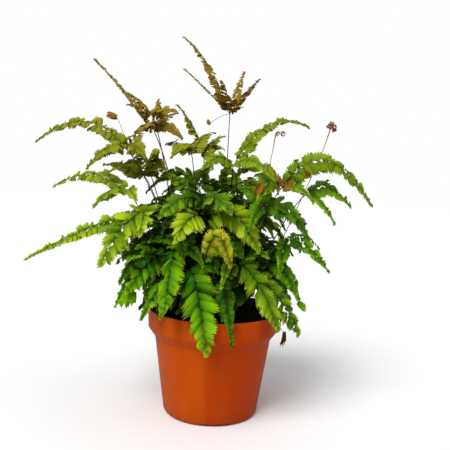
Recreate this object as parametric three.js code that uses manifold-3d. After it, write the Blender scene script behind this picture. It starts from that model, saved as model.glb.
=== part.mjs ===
// A maidenhair-like fern in a round plastic nursery pot. Millimetres, +Z up, the front towards -Y.
// The origin is the centre of the pot's flat underside.
import * as THREE from 'three';
import { mergeVertices } from 'three/addons/utils/BufferGeometryUtils.js';
import Module from 'manifold-3d';

const wasm = await Module();
wasm.setup();

// ---------------------------------------------------------------- pot and soil
const POT_HEIGHT = 96;
const RIM_RADIUS = 60;
const BAND_BOTTOM = 79;
const BAND_BOTTOM_RADIUS = 59.4;
const COLLAR_BOTTOM = 70;
const COLLAR_BOTTOM_RADIUS = 53;
const BASE_RADIUS = 43;
const BASE_ROUND = 3;
const WALL = 1.3;
const FLOOR = 3;
const POT_SIDES = 40;

const CHANNELS = 4;
const CHANNEL_WIDTH = 24;
const CHANNEL_HEIGHT = 2.2;
const CHANNEL_START = 27;
const CHANNEL_TURN = THREE.MathUtils.degToRad(8);
const DRAIN_HOLES = 8;
const DRAIN_RADIUS = 3.5;
const DRAIN_SIDES = 8;
const DRAIN_CIRCLE = 33;

const GAP = 0.35;
const SOIL_EDGE = 84;
const SOIL_CENTRE = 89;
const SOIL_SHOULDER = 87;
const PLANTING_DEPTH = 12;

// ---------------------------------------------------------------- fern
const CROWN_RADIUS = 36;
const STALK_RADIUS = 0.9;
const STALK_SIDES = 4;
const STALK_STEPS = 5;
const HOLE_RADIUS = STALK_RADIUS + 0.8;
const HOLE_SIDES = 4;
const HOLE_LENGTH = 30;

// A stalk's bends: the shares of its way across and of its way up at its two control points.
// A frond's stalk goes up first and then out. A crozier's leans out from the soil.
const UP_FIRST = [0.12, 0.6];
const LEAN_FIRST = [0.4, 0.9];
const BEND_HEIGHTS = [0.4, 0.82];

// The least share of the crown's radius that a foot stands out, under an upright frond, and how
// far out a foot is taken to be, as a share of its hub's distance, where the stalk's end is aimed.
const LEAST_FOOT = 0.25;
const AIM_FOOT = 0.3;

const HUB_RADIUS = 2.8;
const BLADE_THICKNESS = 0.7;
const RIB_HALF_WIDTH = 0.9;
const RIB_START = 1;
const RIB_TAPER = 0.35;
const BARE_RIB = 7;
const LEAFLET_PITCH = 6.2;
const PITCH_PER_WIDTH = 0.3;
const BACK_PITCH = 1.35;
const END_LEAFLET = 0.6;
const LEAFLET_DROOP = THREE.MathUtils.degToRad(14);
const SHORTEST_PINNA = 26;

// A leaflet's outer corners: the place along its pitch and the share of the half width. Leaflets
// on a broad pinna have two corners, the others have one.
const BROAD_HALF_WIDTH = 10.5;
const BROAD_LEAFLET = [[0.3, 0.96], [0.86, 1]];
const NARROW_LEAFLET = [[0.66, 1]];

// A pinna's outline: it widens from its narrow base over WIDENING mm, and rounds off to its tip.
const BASE_WIDTH = 0.35;
const WIDENING = 42;
const TIP_FULLNESS = 1.25;
const TIP_POWER = 0.6;

// How a pinna is curved and how its face is turned: the place of the arch along it, how much the
// face leans outwards, leans back where the rib climbs, and turns to the front.
const ARCH_PLACE = 0.45;
const LEAN_OUT = 0.8;
const LEAN_BACK = 0.35;
const LEAST_FLAT = 0.01;
const FACING = 0.55;

// Each frond read from the front view: where its pinnae fan out, their half width, and for each
// pinna its tip's x, y and z, how high it arches, and where it differs its own half width.
const FRONDS = [
  { name: 'front_center', tone: 'green', hub: [-23, -42, 138], halfWidth: 14, facing: 0.9,
    pinnae: [[-3, -86, 76, 30], [12, -58, 116, 16, 7]] },
  { name: 'front_bright', tone: 'lime', hub: [-10, -25, 175], halfWidth: 12, facing: 1.2,
    pinnae: [[36, -62, 157, 40], [-32, -76, 164, 26], [16, -82, 150, 18, 5]] },
  { name: 'left_bright', tone: 'lime', hub: [-59, -22, 183], halfWidth: 13, facing: 1.2,
    pinnae: [[-168, -12, 136, 12, 8], [-95, -60, 139, 24], [-60, -76, 168, 22, 10]] },
  { name: 'front_left', tone: 'green', hub: [-34, -36, 152], halfWidth: 12, facing: 0.9,
    pinnae: [[-38, -84, 109, 24, 10.5], [-60, -70, 116, 20, 11], [-14, -60, 126, 18, 7]] },
  { name: 'front_right', tone: 'lime', hub: [15, -38, 144], halfWidth: 11, facing: 0.9,
    pinnae: [[50, -80, 96, 26], [74, -52, 86, 26], [6, -72, 120, 16, 6]] },
  { name: 'right_big', tone: 'green', hub: [54, -14, 207], halfWidth: 9.5, facing: 1.1,
    pinnae: [[136, -16, 195, 66], [32, -62, 197, 28], [8, 18, 212, 38], [86, -34, 198, 16, 5]] },
  { name: 'left_arch', tone: 'gold', hub: [-82, -5, 235], halfWidth: 7, facing: 1.1,
    pinnae: [[-169, 5, 239, 46], [-112, -38, 218, 22, 8], [-60, 26, 262, 12, 7.5],
      [-62, -42, 230, 14], [-98, 34, 258, 10]] },
  { name: 'right_arch', tone: 'green', hub: [12, -12, 226], halfWidth: 7.5, facing: 0.9,
    pinnae: [[79, -6, 262, 42], [-14, -48, 222, 18], [46, -60, 216, 20]] },
  { name: 'crown_top', tone: 'bronze', hub: [7, 12, 273], halfWidth: 6.5,
    pinnae: [[-39, 14, 341, 22], [-39, 44, 317, 2], [32, -10, 303, 5], [16, 40, 316, 2, 5],
      [-2, -24, 298, 10]] },
  { name: 'upper_left', tone: 'bronze', hub: [-64, 16, 258], halfWidth: 6.5, facing: 0.9,
    pinnae: [[-119, 14, 318, 6], [-44, 50, 275, 6], [-34, -10, 248, 12], [-84, -22, 250, 10]] },
  { name: 'right_mid', tone: 'green', hub: [78, -2, 203], halfWidth: 9, facing: 1.0,
    pinnae: [[120, -4, 193, 24], [101, -34, 180, 14, 5], [72, 44, 212, 12, 6]] },
  { name: 'right_front', tone: 'dark', hub: [40, -40, 192], halfWidth: 9.5, facing: 0.9,
    pinnae: [[74, -70, 171, 24], [47, -80, 176, 16, 6], [16, -24, 206, 14]] },
  { name: 'front_mid', tone: 'dark', hub: [28, -22, 160], halfWidth: 10.5, facing: 0.9,
    pinnae: [[50, -64, 146, 14, 7], [26, -76, 122, 24], [-2, -62, 142, 18]] },
  { name: 'center_gold', tone: 'gold', hub: [-26, 0, 235], halfWidth: 8, facing: 1.0,
    pinnae: [[-40, -48, 230, 18], [-56, 24, 243, 12], [-6, 22, 256, 12], [-28, 54, 248, 12]] },
  { name: 'left_low', tone: 'lime', hub: [-81, -15, 201], halfWidth: 8, facing: 0.9,
    pinnae: [[-154, 10, 199, 26], [-103, -50, 187, 14], [-84, -46, 194, 6, 6]] },
  { name: 'left_under', tone: 'green', hub: [-63, -15, 146], halfWidth: 10, facing: 0.9,
    pinnae: [[-78, -44, 122, 14, 8], [-56, -46, 104, 18, 8], [-100, -26, 140, 12, 7],
      [-86, 22, 122, 18]] },
  { name: 'right_low', tone: 'green', hub: [63, -6, 161], halfWidth: 7, facing: 0.9,
    pinnae: [[101, -22, 136, 16], [108, 12, 150, 16, 4.5], [54, -48, 134, 14]] },
  { name: 'right_side', tone: 'green', hub: [46, -22, 147], halfWidth: 9.5, facing: 0.9,
    pinnae: [[66, -46, 122, 14, 8], [77, 0, 106, 20, 8]] },
  { name: 'center_dark', tone: 'dark', hub: [4, -44, 130], halfWidth: 7, facing: 0.9,
    pinnae: [[13, -84, 83, 20, 6], [-12, -70, 116, 14]] },
  { name: 'left_gold', tone: 'gold', hub: [-70, 22, 212], halfWidth: 8, facing: 1.0,
    pinnae: [[-112, 30, 222, 10], [-88, 66, 214, 16], [-66, 60, 210, 14]] },
  { name: 'center', tone: 'green', hub: [-16, -14, 192], halfWidth: 10, facing: 0.9,
    pinnae: [[-53, 2, 220, 8, 7], [-46, -62, 182, 20], [12, -62, 188, 18], [-70, -46, 176, 20]] },
];

// The fronds behind the crown stand in layers. Each is a fan of five pinnae round its heading.
const BACK_LAYERS = [
  { name: 'back_high', tone: 'green', headings: [58, 122], radius: 36, height: 206, drop: 26,
    halfWidth: 8 },
  { name: 'back_mid', tone: 'lime', headings: [62, 104, 148], radius: 50, height: 182, drop: 34,
    halfWidth: 9 },
  { name: 'back_low', tone: 'dark', headings: [72, 124], radius: 60, height: 146, drop: 46,
    halfWidth: 10 },
];
const BACK_FAN = [0, 36, -36, 76, -76];
const BACK_REACH = 80;
const BACK_SIDE_REACH = 0.65;
const BACK_ARCH = 34;

// The coiled young fronds: where the coil's stem ends, and the coil's radius.
const CROZIERS = [
  { name: 'crozier_back', top: [51, 30, 258], coil: 4.5 },
  { name: 'crozier_right', top: [101, 24, 264], coil: 5 },
];
const COIL_TURNS = 1.3;
const COIL_INNER = 0.4;
const COIL_POINTS = 12;
const STEM_POINTS = 8;
const CROZIER_RADIUS = 1.2;
const CROZIER_STEPS = 20;
const CROZIER_SAMPLES = 60;

// The space map that keeps fronds clear of each other: cubic cells, with the map's edge off the
// pot's axis by part of a cell, so that no cell's face lies on the axis.
const CELL = 2.4;
const SAMPLE = 1;
const MAP_SPAN = 400;
const MAP_EDGE = 480.7;
const OWN_HUB_REACH = 2.5;
const POT_CLEARANCE = 4;
const SWINGS = [0, 6, -6, 12, -12, 20, -20, 30, -30];
const LIFTS = [0, 8, -8, 16, -16, 26];
const FOOT_TURNS = [0, 10, -10, 20, -20, 32, -32, 45, -45, 60, -60, 80, -80, 100, -100];
const FOOT_SHARES = [1, 0.8, 1.25, 0.6, 1.5];

const LEAF_ROUGHNESS = 0.6;
const FINISHES = {
  pot: { color: 0xb5532a, roughness: 0.45 },
  soil: { color: 0x2b211b, roughness: 0.95 },
  stalk: { color: 0x2a1a14, roughness: 0.5 },
  crozier: { color: 0x6b3a24, roughness: 0.6 },
  lime: { color: 0x8fc93a, roughness: LEAF_ROUGHNESS },
  green: { color: 0x5f9e2e, roughness: LEAF_ROUGHNESS },
  dark: { color: 0x33661f, roughness: LEAF_ROUGHNESS },
  gold: { color: 0x9aa83a, roughness: LEAF_ROUGHNESS },
  bronze: { color: 0x8a7a35, roughness: LEAF_ROUGHNESS },
};
const MERGE_DISTANCE = 1e-4;
const UP = new THREE.Vector3(0, 0, 1);
const group = new THREE.Group();

// ---------------------------------------------------------------- solids
function solidOf(geometry) {
  const bare = geometry.clone();
  bare.deleteAttribute('normal');
  bare.deleteAttribute('uv');
  const merged = mergeVertices(bare, MERGE_DISTANCE);
  return new wasm.Manifold(new wasm.Mesh({
    numProp: 3,
    vertProperties: new Float32Array(merged.attributes.position.array),
    triVerts: new Uint32Array(merged.index.array),
  }));
}

function geometryOf(solid) {
  const mesh = solid.getMesh();
  const geometry = new THREE.BufferGeometry();
  geometry.setAttribute('position', new THREE.BufferAttribute(mesh.vertProperties, 3));
  geometry.setIndex(new THREE.BufferAttribute(mesh.triVerts, 1));
  return geometry;
}

function addMesh(name, geometry, finish) {
  const material = new THREE.MeshStandardMaterial({ ...finish, metalness: 0 });
  const mesh = new THREE.Mesh(geometry, material);
  mesh.name = name;
  group.add(mesh);
}

function upright(geometry) {
  return geometry.rotateX(Math.PI / 2);
}

function vector([x, y, z]) {
  return new THREE.Vector3(x, y, z);
}

// ---------------------------------------------------------------- pot
function wallRadius(height) {
  const share = height / COLLAR_BOTTOM;
  return BASE_RADIUS + (COLLAR_BOTTOM_RADIUS - BASE_RADIUS) * share;
}

// Profiles run from the axis at the bottom, out and up the outside, and back to the axis.
function potProfile() {
  const roundMiddle = BASE_ROUND * (1 - Math.SQRT1_2);
  return [
    [0, 0],
    [BASE_RADIUS - BASE_ROUND, 0],
    [BASE_RADIUS - roundMiddle, roundMiddle],
    [wallRadius(BASE_ROUND), BASE_ROUND],
    [COLLAR_BOTTOM_RADIUS, COLLAR_BOTTOM],
    [BAND_BOTTOM_RADIUS, BAND_BOTTOM],
    [RIM_RADIUS, POT_HEIGHT],
    [RIM_RADIUS - WALL, POT_HEIGHT],
    [BAND_BOTTOM_RADIUS - WALL, BAND_BOTTOM + WALL / 2],
    [COLLAR_BOTTOM_RADIUS - WALL, COLLAR_BOTTOM + WALL / 2],
    [wallRadius(FLOOR) - WALL, FLOOR],
    [0, FLOOR],
  ];
}

function lathe(profile) {
  const points = profile.map(([radius, height]) => new THREE.Vector2(radius, height));
  return upright(new THREE.LatheGeometry(points, POT_SIDES));
}

function makePot() {
  let pot = solidOf(lathe(potProfile()));
  for (let i = 0; i < CHANNELS; i++) {
    const channel = new THREE.BoxGeometry(BASE_RADIUS, CHANNEL_WIDTH, CHANNEL_HEIGHT * 2);
    channel.translate(CHANNEL_START + BASE_RADIUS / 2, 0, 0);
    channel.rotateZ(i * 2 * Math.PI / CHANNELS + CHANNEL_TURN);
    pot = pot.subtract(solidOf(channel));
  }
  for (let i = 0; i < DRAIN_HOLES; i++) {
    const hole = upright(new THREE.CylinderGeometry(DRAIN_RADIUS, DRAIN_RADIUS, FLOOR * 4, DRAIN_SIDES));
    const angle = i * 2 * Math.PI / DRAIN_HOLES + CHANNEL_TURN;
    hole.translate(DRAIN_CIRCLE * Math.cos(angle), DRAIN_CIRCLE * Math.sin(angle), 0);
    pot = pot.subtract(solidOf(hole));
  }
  addMesh('pot', geometryOf(pot), FINISHES.pot);
}

// ---------------------------------------------------------------- where the fern's parts run
// A pinna is a curve from the hub to its tip, its length worked out over short steps.
const LENGTH_STEPS = 60;

function makePinna(hub, tip, arch, halfWidth, facing) {
  const control = hub.clone().lerp(tip, ARCH_PLACE).addScaledVector(UP, arch);
  const curve = new THREE.QuadraticBezierCurve3(hub, control, tip);
  const distances = [0];
  for (let i = 1; i <= LENGTH_STEPS; i++) {
    const from = curve.getPoint((i - 1) / LENGTH_STEPS);
    const to = curve.getPoint(i / LENGTH_STEPS);
    distances.push(distances[i - 1] + from.distanceTo(to));
  }
  const out = new THREE.Vector3(tip.x, tip.y, 0).normalize();
  return { hub, tip, control, curve, distances, out, halfWidth, facing, length: distances[LENGTH_STEPS] };
}

// The point at a distance along the rib, with its tangent, the blade's normal and its side.
function ribFrame(pinna, distance) {
  const { hub, control, tip, distances, out } = pinna;
  let step = 1;
  while (step < LENGTH_STEPS && distances[step] < distance) step += 1;
  const share = (distance - distances[step - 1]) / (distances[step] - distances[step - 1]);
  const t = (step - 1 + share) / LENGTH_STEPS;
  const point = pinna.curve.getPoint(Math.min(t, 1));
  const tangent = control.clone().sub(hub).multiplyScalar(1 - t);
  tangent.addScaledVector(tip.clone().sub(control), t).normalize();
  const flat = new THREE.Vector3(tangent.x, tangent.y, 0);
  const along = out.dot(flat) / Math.max(flat.lengthSq(), LEAST_FLAT);
  const aside = out.clone().addScaledVector(flat, -along);
  const normal = UP.clone().addScaledVector(aside, LEAN_OUT).addScaledVector(out, -LEAN_BACK * tangent.z);
  normal.y -= pinna.facing;
  normal.addScaledVector(tangent, -normal.dot(tangent)).normalize();
  const side = new THREE.Vector3().crossVectors(normal, tangent);
  return { point, tangent, normal, side };
}

function halfWidthAt(pinna, distance) {
  const share = Math.min(distance / pinna.length, 1);
  const base = Math.min(1, BASE_WIDTH + distance / WIDENING);
  const taper = Math.min(1, TIP_FULLNESS * (1 - share) ** TIP_POWER);
  return pinna.halfWidth * base * taper;
}

function bladePoint(pinna, distance, offset) {
  const frame = ribFrame(pinna, distance);
  frame.point.addScaledVector(frame.side, offset * Math.cos(LEAFLET_DROOP));
  frame.point.addScaledVector(frame.normal, -Math.abs(offset) * Math.sin(LEAFLET_DROOP));
  return frame;
}

// ---------------------------------------------------------------- the space map
const taken = new Map();

function cellOf(value) {
  return Math.floor((value + MAP_EDGE) / CELL);
}

function cellKey(i, j, k) {
  return (i * MAP_SPAN + j) * MAP_SPAN + k;
}

function take(point, owner) {
  const [i, j, k] = [cellOf(point.x), cellOf(point.y), cellOf(point.z)];
  for (let a = -1; a <= 1; a++) {
    for (let b = -1; b <= 1; b++) {
      for (let c = -1; c <= 1; c++) {
        const key = cellKey(i + a, j + b, k + c);
        if (!taken.has(key)) taken.set(key, owner);
      }
    }
  }
}

function isClear(point, owner, nearHub) {
  const radius = Math.hypot(point.x, point.y);
  if (radius < RIM_RADIUS + POT_CLEARANCE && point.z < POT_HEIGHT + POT_CLEARANCE) return false;
  const other = taken.get(cellKey(cellOf(point.x), cellOf(point.y), cellOf(point.z)));
  return other === undefined || (nearHub && other === owner);
}

// The samples of one cross row of a blade, and how far along the blade every row is clear.
function rowPoints(pinna, distance) {
  const half = halfWidthAt(pinna, distance);
  const count = Math.max(1, Math.ceil(half / SAMPLE));
  const points = [];
  for (let i = -count; i <= count; i++) {
    points.push(bladePoint(pinna, distance, half * i / count).point);
  }
  return points;
}

function clearLength(pinna, owner) {
  let distance = BARE_RIB;
  while (distance <= pinna.length) {
    const nearHub = distance < OWN_HUB_REACH * pinna.halfWidth;
    if (!rowPoints(pinna, distance).every((point) => isClear(point, owner, nearHub))) break;
    distance += SAMPLE;
  }
  return Math.min(distance, pinna.length);
}

function takeBlade(pinna, owner) {
  for (let distance = 0; distance <= pinna.length; distance += SAMPLE) {
    rowPoints(pinna, distance).forEach((point) => take(point, owner));
  }
}

// Swings the tip round the hub and lifts it until the pinna is clear of all that is laid before it.
// Where nothing is clear, the longest clear stretch stays.
function layPinna(hub, tip, arch, halfWidth, facing, owner) {
  let best = null;
  for (const lift of LIFTS) {
    for (const swing of SWINGS) {
      const turned = tip.clone().sub(hub).applyAxisAngle(UP, THREE.MathUtils.degToRad(swing)).add(hub);
      turned.z += lift;
      const pinna = makePinna(hub, turned, arch, halfWidth, facing);
      const clear = clearLength(pinna, owner);
      if (clear === pinna.length) {
        takeBlade(pinna, owner);
        return pinna;
      }
      if (best === null || clear > best.clear) best = { pinna, clear };
    }
  }
  if (best.clear < SHORTEST_PINNA) return null;
  best.pinna.length = best.clear - SAMPLE;
  takeBlade(best.pinna, owner);
  return best.pinna;
}

// ---------------------------------------------------------------- stalks
function stalkCurve(foot, end, bend) {
  const across = new THREE.Vector3(end.x - foot.x, end.y - foot.y, 0);
  const height = end.z - foot.z;
  const [low, high] = bend.map((share, i) => {
    return foot.clone().addScaledVector(across, share).addScaledVector(UP, height * BEND_HEIGHTS[i]);
  });
  return new THREE.CubicBezierCurve3(foot, low, high, end);
}

function stalkSamples(curve) {
  const points = [];
  const count = Math.ceil(curve.getLength());
  for (let i = 0; i <= count; i++) {
    const centre = curve.getPoint(i / count);
    for (const [x, y] of [[1, 0], [-1, 0], [0, 1], [0, -1]]) {
      points.push(centre.clone().add(new THREE.Vector3(x * STALK_RADIUS, y * STALK_RADIUS, 0)));
    }
  }
  return points;
}

// Stalks lean the way of their hubs: the further out the hub, the further out the stalk's foot.
// The foot moves round the crown, and in or out, until the stalk is clear of the ones before it.
function layStalk(end, bend, owner) {
  const heading = Math.atan2(end.y, end.x);
  const reach = Math.hypot(end.x, end.y) / (end.z - SOIL_EDGE);
  const footRadius = CROWN_RADIUS * Math.min(1, LEAST_FOOT + reach * (1 - LEAST_FOOT));
  for (const turn of FOOT_TURNS) {
    for (const share of FOOT_SHARES) {
      const angle = heading + THREE.MathUtils.degToRad(turn);
      const radius = footRadius * share;
      const foot = new THREE.Vector3(radius * Math.cos(angle), radius * Math.sin(angle),
        SOIL_EDGE - PLANTING_DEPTH);
      const curve = stalkCurve(foot, end, bend);
      const samples = stalkSamples(curve);
      if (samples.every((point) => stalkFits(point, owner))) {
        samples.forEach((point) => take(point, owner));
        return curve;
      }
    }
  }
  throw new Error(`no room for stalk ${owner}`);
}

function stalkFits(point, owner) {
  const other = taken.get(cellKey(cellOf(point.x), cellOf(point.y), cellOf(point.z)));
  return other === undefined || other === owner;
}

function tube(curve, radius, sides, steps) {
  const section = new THREE.Shape();
  for (let i = 0; i < sides; i++) {
    const angle = i * 2 * Math.PI / sides;
    const [x, y] = [radius * Math.cos(angle), radius * Math.sin(angle)];
    if (i === 0) section.moveTo(x, y);
    else section.lineTo(x, y);
  }
  return new THREE.ExtrudeGeometry(section, { steps, extrudePath: curve, bevelEnabled: false });
}

// ---------------------------------------------------------------- blades
// One pinna is one thin arched blade whose outline is cut to the rib between its leaflets.
// Both faces have the same triangles.
function pinnaGeometry(pinna) {
  const pitch = (LEAFLET_PITCH + PITCH_PER_WIDTH * pinna.halfWidth) * (pinna.facing ? 1 : BACK_PITCH);
  const leaflets = Math.max(2, Math.round((pinna.length - BARE_RIB) / pitch - END_LEAFLET));
  const step = (pinna.length - BARE_RIB) / (leaflets + END_LEAFLET);
  const corners = pinna.halfWidth >= BROAD_HALF_WIDTH ? BROAD_LEAFLET : NARROW_LEAFLET;
  const points = [];
  const addPoint = (distance, offset) => {
    const { point, normal } = bladePoint(pinna, distance, offset);
    points.push({ point, normal });
    return points.length - 1;
  };
  const faces = [];
  let before = { '-1': addPoint(RIB_START, -RIB_HALF_WIDTH), '1': addPoint(RIB_START, RIB_HALF_WIDTH) };
  const edges = { '-1': [before['-1']], '1': [before['1']] };
  for (let i = 0; i <= leaflets; i++) {
    const start = i === 0 ? BARE_RIB : BARE_RIB + (i - 1) * step;
    const distance = BARE_RIB + i * step;
    const rib = RIB_HALF_WIDTH * (1 - RIB_TAPER * distance / pinna.length);
    const notch = {};
    for (const side of [-1, 1]) {
      const outline = [];
      if (i > 0) {
        for (const [along, share] of corners) {
          const place = start + along * step;
          outline.push(addPoint(place, side * halfWidthAt(pinna, start + step / 2) * share));
        }
      }
      notch[side] = addPoint(distance, side * rib);
      const loop = [before[side], ...outline, notch[side]];
      for (let k = 1; k + 1 < loop.length; k++) {
        faces.push(side > 0 ? [loop[0], loop[k], loop[k + 1]] : [loop[0], loop[k + 1], loop[k]]);
      }
      edges[side].push(...outline, notch[side]);
    }
    faces.push([before[1], notch[1], notch[-1]], [before[1], notch[-1], before[-1]]);
    before = notch;
  }
  const end = addPoint(pinna.length, 0);
  faces.push([before[1], end, before[-1]]);
  const rim = [...edges[1], end, ...edges['-1'].slice().reverse()];
  return thicken(points, faces, rim);
}

function thicken(points, faces, rim) {
  const count = points.length;
  const positions = [];
  for (const half of [BLADE_THICKNESS / 2, -BLADE_THICKNESS / 2]) {
    for (const { point, normal } of points) {
      positions.push(...point.clone().addScaledVector(normal, half).toArray());
    }
  }
  const index = [];
  for (const [a, b, c] of faces) {
    index.push(a, c, b, a + count, b + count, c + count);
  }
  rim.forEach((a, i) => {
    const b = rim[(i + 1) % rim.length];
    index.push(a, b, b + count, a, b + count, a + count);
  });
  const geometry = new THREE.BufferGeometry();
  geometry.setAttribute('position', new THREE.Float32BufferAttribute(positions, 3));
  geometry.setIndex(index);
  return geometry;
}

function makeBlade(frond) {
  const ball = new THREE.IcosahedronGeometry(HUB_RADIUS, 0);
  ball.translate(...frond.hub);
  let blade = solidOf(ball);
  for (const pinna of frond.laid) blade = blade.add(solidOf(pinnaGeometry(pinna)));
  addMesh(`${frond.name}_blade`, geometryOf(blade), FINISHES[frond.tone]);
}

// ---------------------------------------------------------------- the whole fern
function backFrond(layer, heading, number) {
  const { radius, height, drop, tone, halfWidth } = layer;
  const middle = THREE.MathUtils.degToRad(heading);
  const hub = [radius * Math.cos(middle), radius * Math.sin(middle), height];
  const pinnae = BACK_FAN.map((turn) => {
    const angle = middle + THREE.MathUtils.degToRad(turn);
    const reach = turn === 0 ? BACK_REACH : BACK_REACH * BACK_SIDE_REACH;
    return [hub[0] + reach * Math.cos(angle), hub[1] + reach * Math.sin(angle), height - drop, BACK_ARCH];
  });
  return { name: `${layer.name}_${number}`, tone, hub, halfWidth, facing: 0, pinnae };
}

function backFronds() {
  return BACK_LAYERS.flatMap((layer) => {
    return layer.headings.map((heading, i) => backFrond(layer, heading, i + 1));
  });
}

function coilCurve(stem, top, coil) {
  const points = stem.getSpacedPoints(STEM_POINTS);
  const lean = new THREE.Vector3(top.x, top.y, 0).normalize();
  for (let i = 1; i <= COIL_POINTS; i++) {
    const share = i / COIL_POINTS;
    const angle = Math.PI - share * COIL_TURNS * 2 * Math.PI;
    const radius = coil * (1 - (1 - COIL_INNER) * share);
    const point = top.clone().addScaledVector(lean, coil + radius * Math.cos(angle));
    points.push(point.addScaledVector(UP, radius * Math.sin(angle)));
  }
  return new THREE.CatmullRomCurve3(points);
}

const fronds = [...FRONDS, ...backFronds()];
const holes = [];

function noteHole(curve, steps) {
  const [foot, next] = curve.getSpacedPoints(steps);
  const axis = next.clone().sub(foot).normalize();
  const hole = new THREE.CylinderGeometry(HOLE_RADIUS, HOLE_RADIUS, HOLE_LENGTH, HOLE_SIDES);
  hole.applyQuaternion(new THREE.Quaternion().setFromUnitVectors(new THREE.Vector3(0, 1, 0), axis));
  const centre = foot.clone().addScaledVector(axis, HOLE_LENGTH / 2 - GAP);
  hole.translate(centre.x, centre.y, centre.z);
  holes.push(hole);
}

fronds.forEach((frond, i) => {
  const hub = vector(frond.hub);
  const foot = new THREE.Vector3(hub.x * AIM_FOOT, hub.y * AIM_FOOT, SOIL_EDGE);
  const away = hub.clone().sub(stalkCurve(foot, hub, UP_FIRST).v2).normalize();
  const end = hub.clone().addScaledVector(away, -(HUB_RADIUS + GAP));
  const stalk = layStalk(end, UP_FIRST, i);
  addMesh(`${frond.name}_stalk`, tube(stalk, STALK_RADIUS, STALK_SIDES, STALK_STEPS), FINISHES.stalk);
  noteHole(stalk, STALK_STEPS);
});

CROZIERS.forEach(({ name, top, coil }, i) => {
  const end = vector(top);
  const stem = layStalk(end, LEAN_FIRST, fronds.length + i);
  const path = coilCurve(stem, end, coil);
  path.getSpacedPoints(CROZIER_SAMPLES).forEach((point) => take(point, fronds.length + i));
  addMesh(name, tube(path, CROZIER_RADIUS, STALK_SIDES, CROZIER_STEPS), FINISHES.crozier);
  noteHole(path, CROZIER_STEPS);
});

// The fronds in the front view are laid whole, one after the other. Behind them all the first
// pinnae are laid, then all the second ones, so that none of those fronds is left bare.
function layRow(frond, row, owner) {
  const [, , , arch, halfWidth = frond.halfWidth] = row;
  const pinna = layPinna(vector(frond.hub), vector(row), arch, halfWidth, frond.facing ?? FACING, owner);
  if (pinna !== null) frond.laid.push(pinna);
}

fronds.forEach((frond, i) => {
  frond.laid = [];
  if (i < FRONDS.length) frond.pinnae.forEach((row) => layRow(frond, row, i));
});
BACK_FAN.forEach((turn, rank) => {
  for (let i = FRONDS.length; i < fronds.length; i++) layRow(fronds[i], fronds[i].pinnae[rank], i);
});
fronds.forEach(makeBlade);

// ---------------------------------------------------------------- soil
function makeSoil() {
  const clear = WALL + GAP;
  const edgeShare = (SOIL_EDGE - BAND_BOTTOM) / (POT_HEIGHT - BAND_BOTTOM);
  const edgeRadius = BAND_BOTTOM_RADIUS + (RIM_RADIUS - BAND_BOTTOM_RADIUS) * edgeShare;
  const profile = [
    [0, FLOOR + GAP],
    [wallRadius(FLOOR) - clear, FLOOR + GAP],
    [COLLAR_BOTTOM_RADIUS - clear, COLLAR_BOTTOM + WALL],
    [BAND_BOTTOM_RADIUS - clear, BAND_BOTTOM + WALL],
    [edgeRadius - clear, SOIL_EDGE],
    [CROWN_RADIUS, SOIL_SHOULDER],
    [0, SOIL_CENTRE],
  ];
  let soil = solidOf(lathe(profile));
  for (const hole of holes) soil = soil.subtract(solidOf(hole));
  addMesh('soil', geometryOf(soil), FINISHES.soil);
}

makePot();
makeSoil();

export default group;
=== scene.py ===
import itertools
import math
import random

import bmesh
import bpy
import numpy as np
from mathutils import Matrix, Vector


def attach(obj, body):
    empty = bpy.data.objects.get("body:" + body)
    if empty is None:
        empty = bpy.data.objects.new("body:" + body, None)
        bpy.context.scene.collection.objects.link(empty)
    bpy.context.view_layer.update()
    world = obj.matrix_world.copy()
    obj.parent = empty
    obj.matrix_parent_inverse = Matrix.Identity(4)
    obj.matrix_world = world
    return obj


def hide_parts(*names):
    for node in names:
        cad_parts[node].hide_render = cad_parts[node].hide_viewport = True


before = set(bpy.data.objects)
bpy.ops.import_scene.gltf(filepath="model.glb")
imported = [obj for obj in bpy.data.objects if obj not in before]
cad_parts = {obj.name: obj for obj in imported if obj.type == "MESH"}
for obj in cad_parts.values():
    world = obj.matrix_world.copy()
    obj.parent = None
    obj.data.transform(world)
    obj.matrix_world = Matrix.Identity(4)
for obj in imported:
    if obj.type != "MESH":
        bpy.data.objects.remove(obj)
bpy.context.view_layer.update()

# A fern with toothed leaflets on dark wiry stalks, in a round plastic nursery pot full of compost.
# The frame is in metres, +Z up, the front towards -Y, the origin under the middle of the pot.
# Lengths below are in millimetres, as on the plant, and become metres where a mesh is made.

MM = 0.001
SEED = 20

# ---------------------------------------------------------------- camera
PHOTO_SIZE = 450
FOCAL_PIXELS = 612.4
SENSOR_WIDTH = 36
CAMERA_PITCH = math.radians(5.63)
CAMERA_ROLL = math.radians(2.51)
CAMERA_DISTANCE = 556.3
CAMERA_AIM = (6.9, 0, 172.3)

# ---------------------------------------------------------------- pot and compost
POT_HEIGHT = 96
RIM_RADIUS = 60
BAND_BOTTOM = 79
BAND_BOTTOM_RADIUS = 59.4
COLLAR_BOTTOM = 70
COLLAR_BOTTOM_RADIUS = 53
BASE_RADIUS = 43
BASE_ROUND = 3
WALL = 1.3
POT_FLOOR = 3
POT_SIDES = 120

RIM_EDGE = 0.3
BASE_ROUND_STEPS = 4
POT_EDGE = 0.35
POT_EDGE_ANGLE = 25
POT_CREASE = 30

CHANNELS = 4
CHANNEL_WIDTH = 24
CHANNEL_HEIGHT = 2.2
CHANNEL_START = 27
CHANNEL_TURN = math.radians(8)
DRAIN_HOLES = 8
DRAIN_RADIUS = 3.5
DRAIN_CIRCLE = 33
DRAIN_SIDES = 24

SOIL_GAP = 0.35
SOIL_EDGE = 84
SOIL_CENTRE = 89
SOIL_SHOULDER = 87

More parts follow.
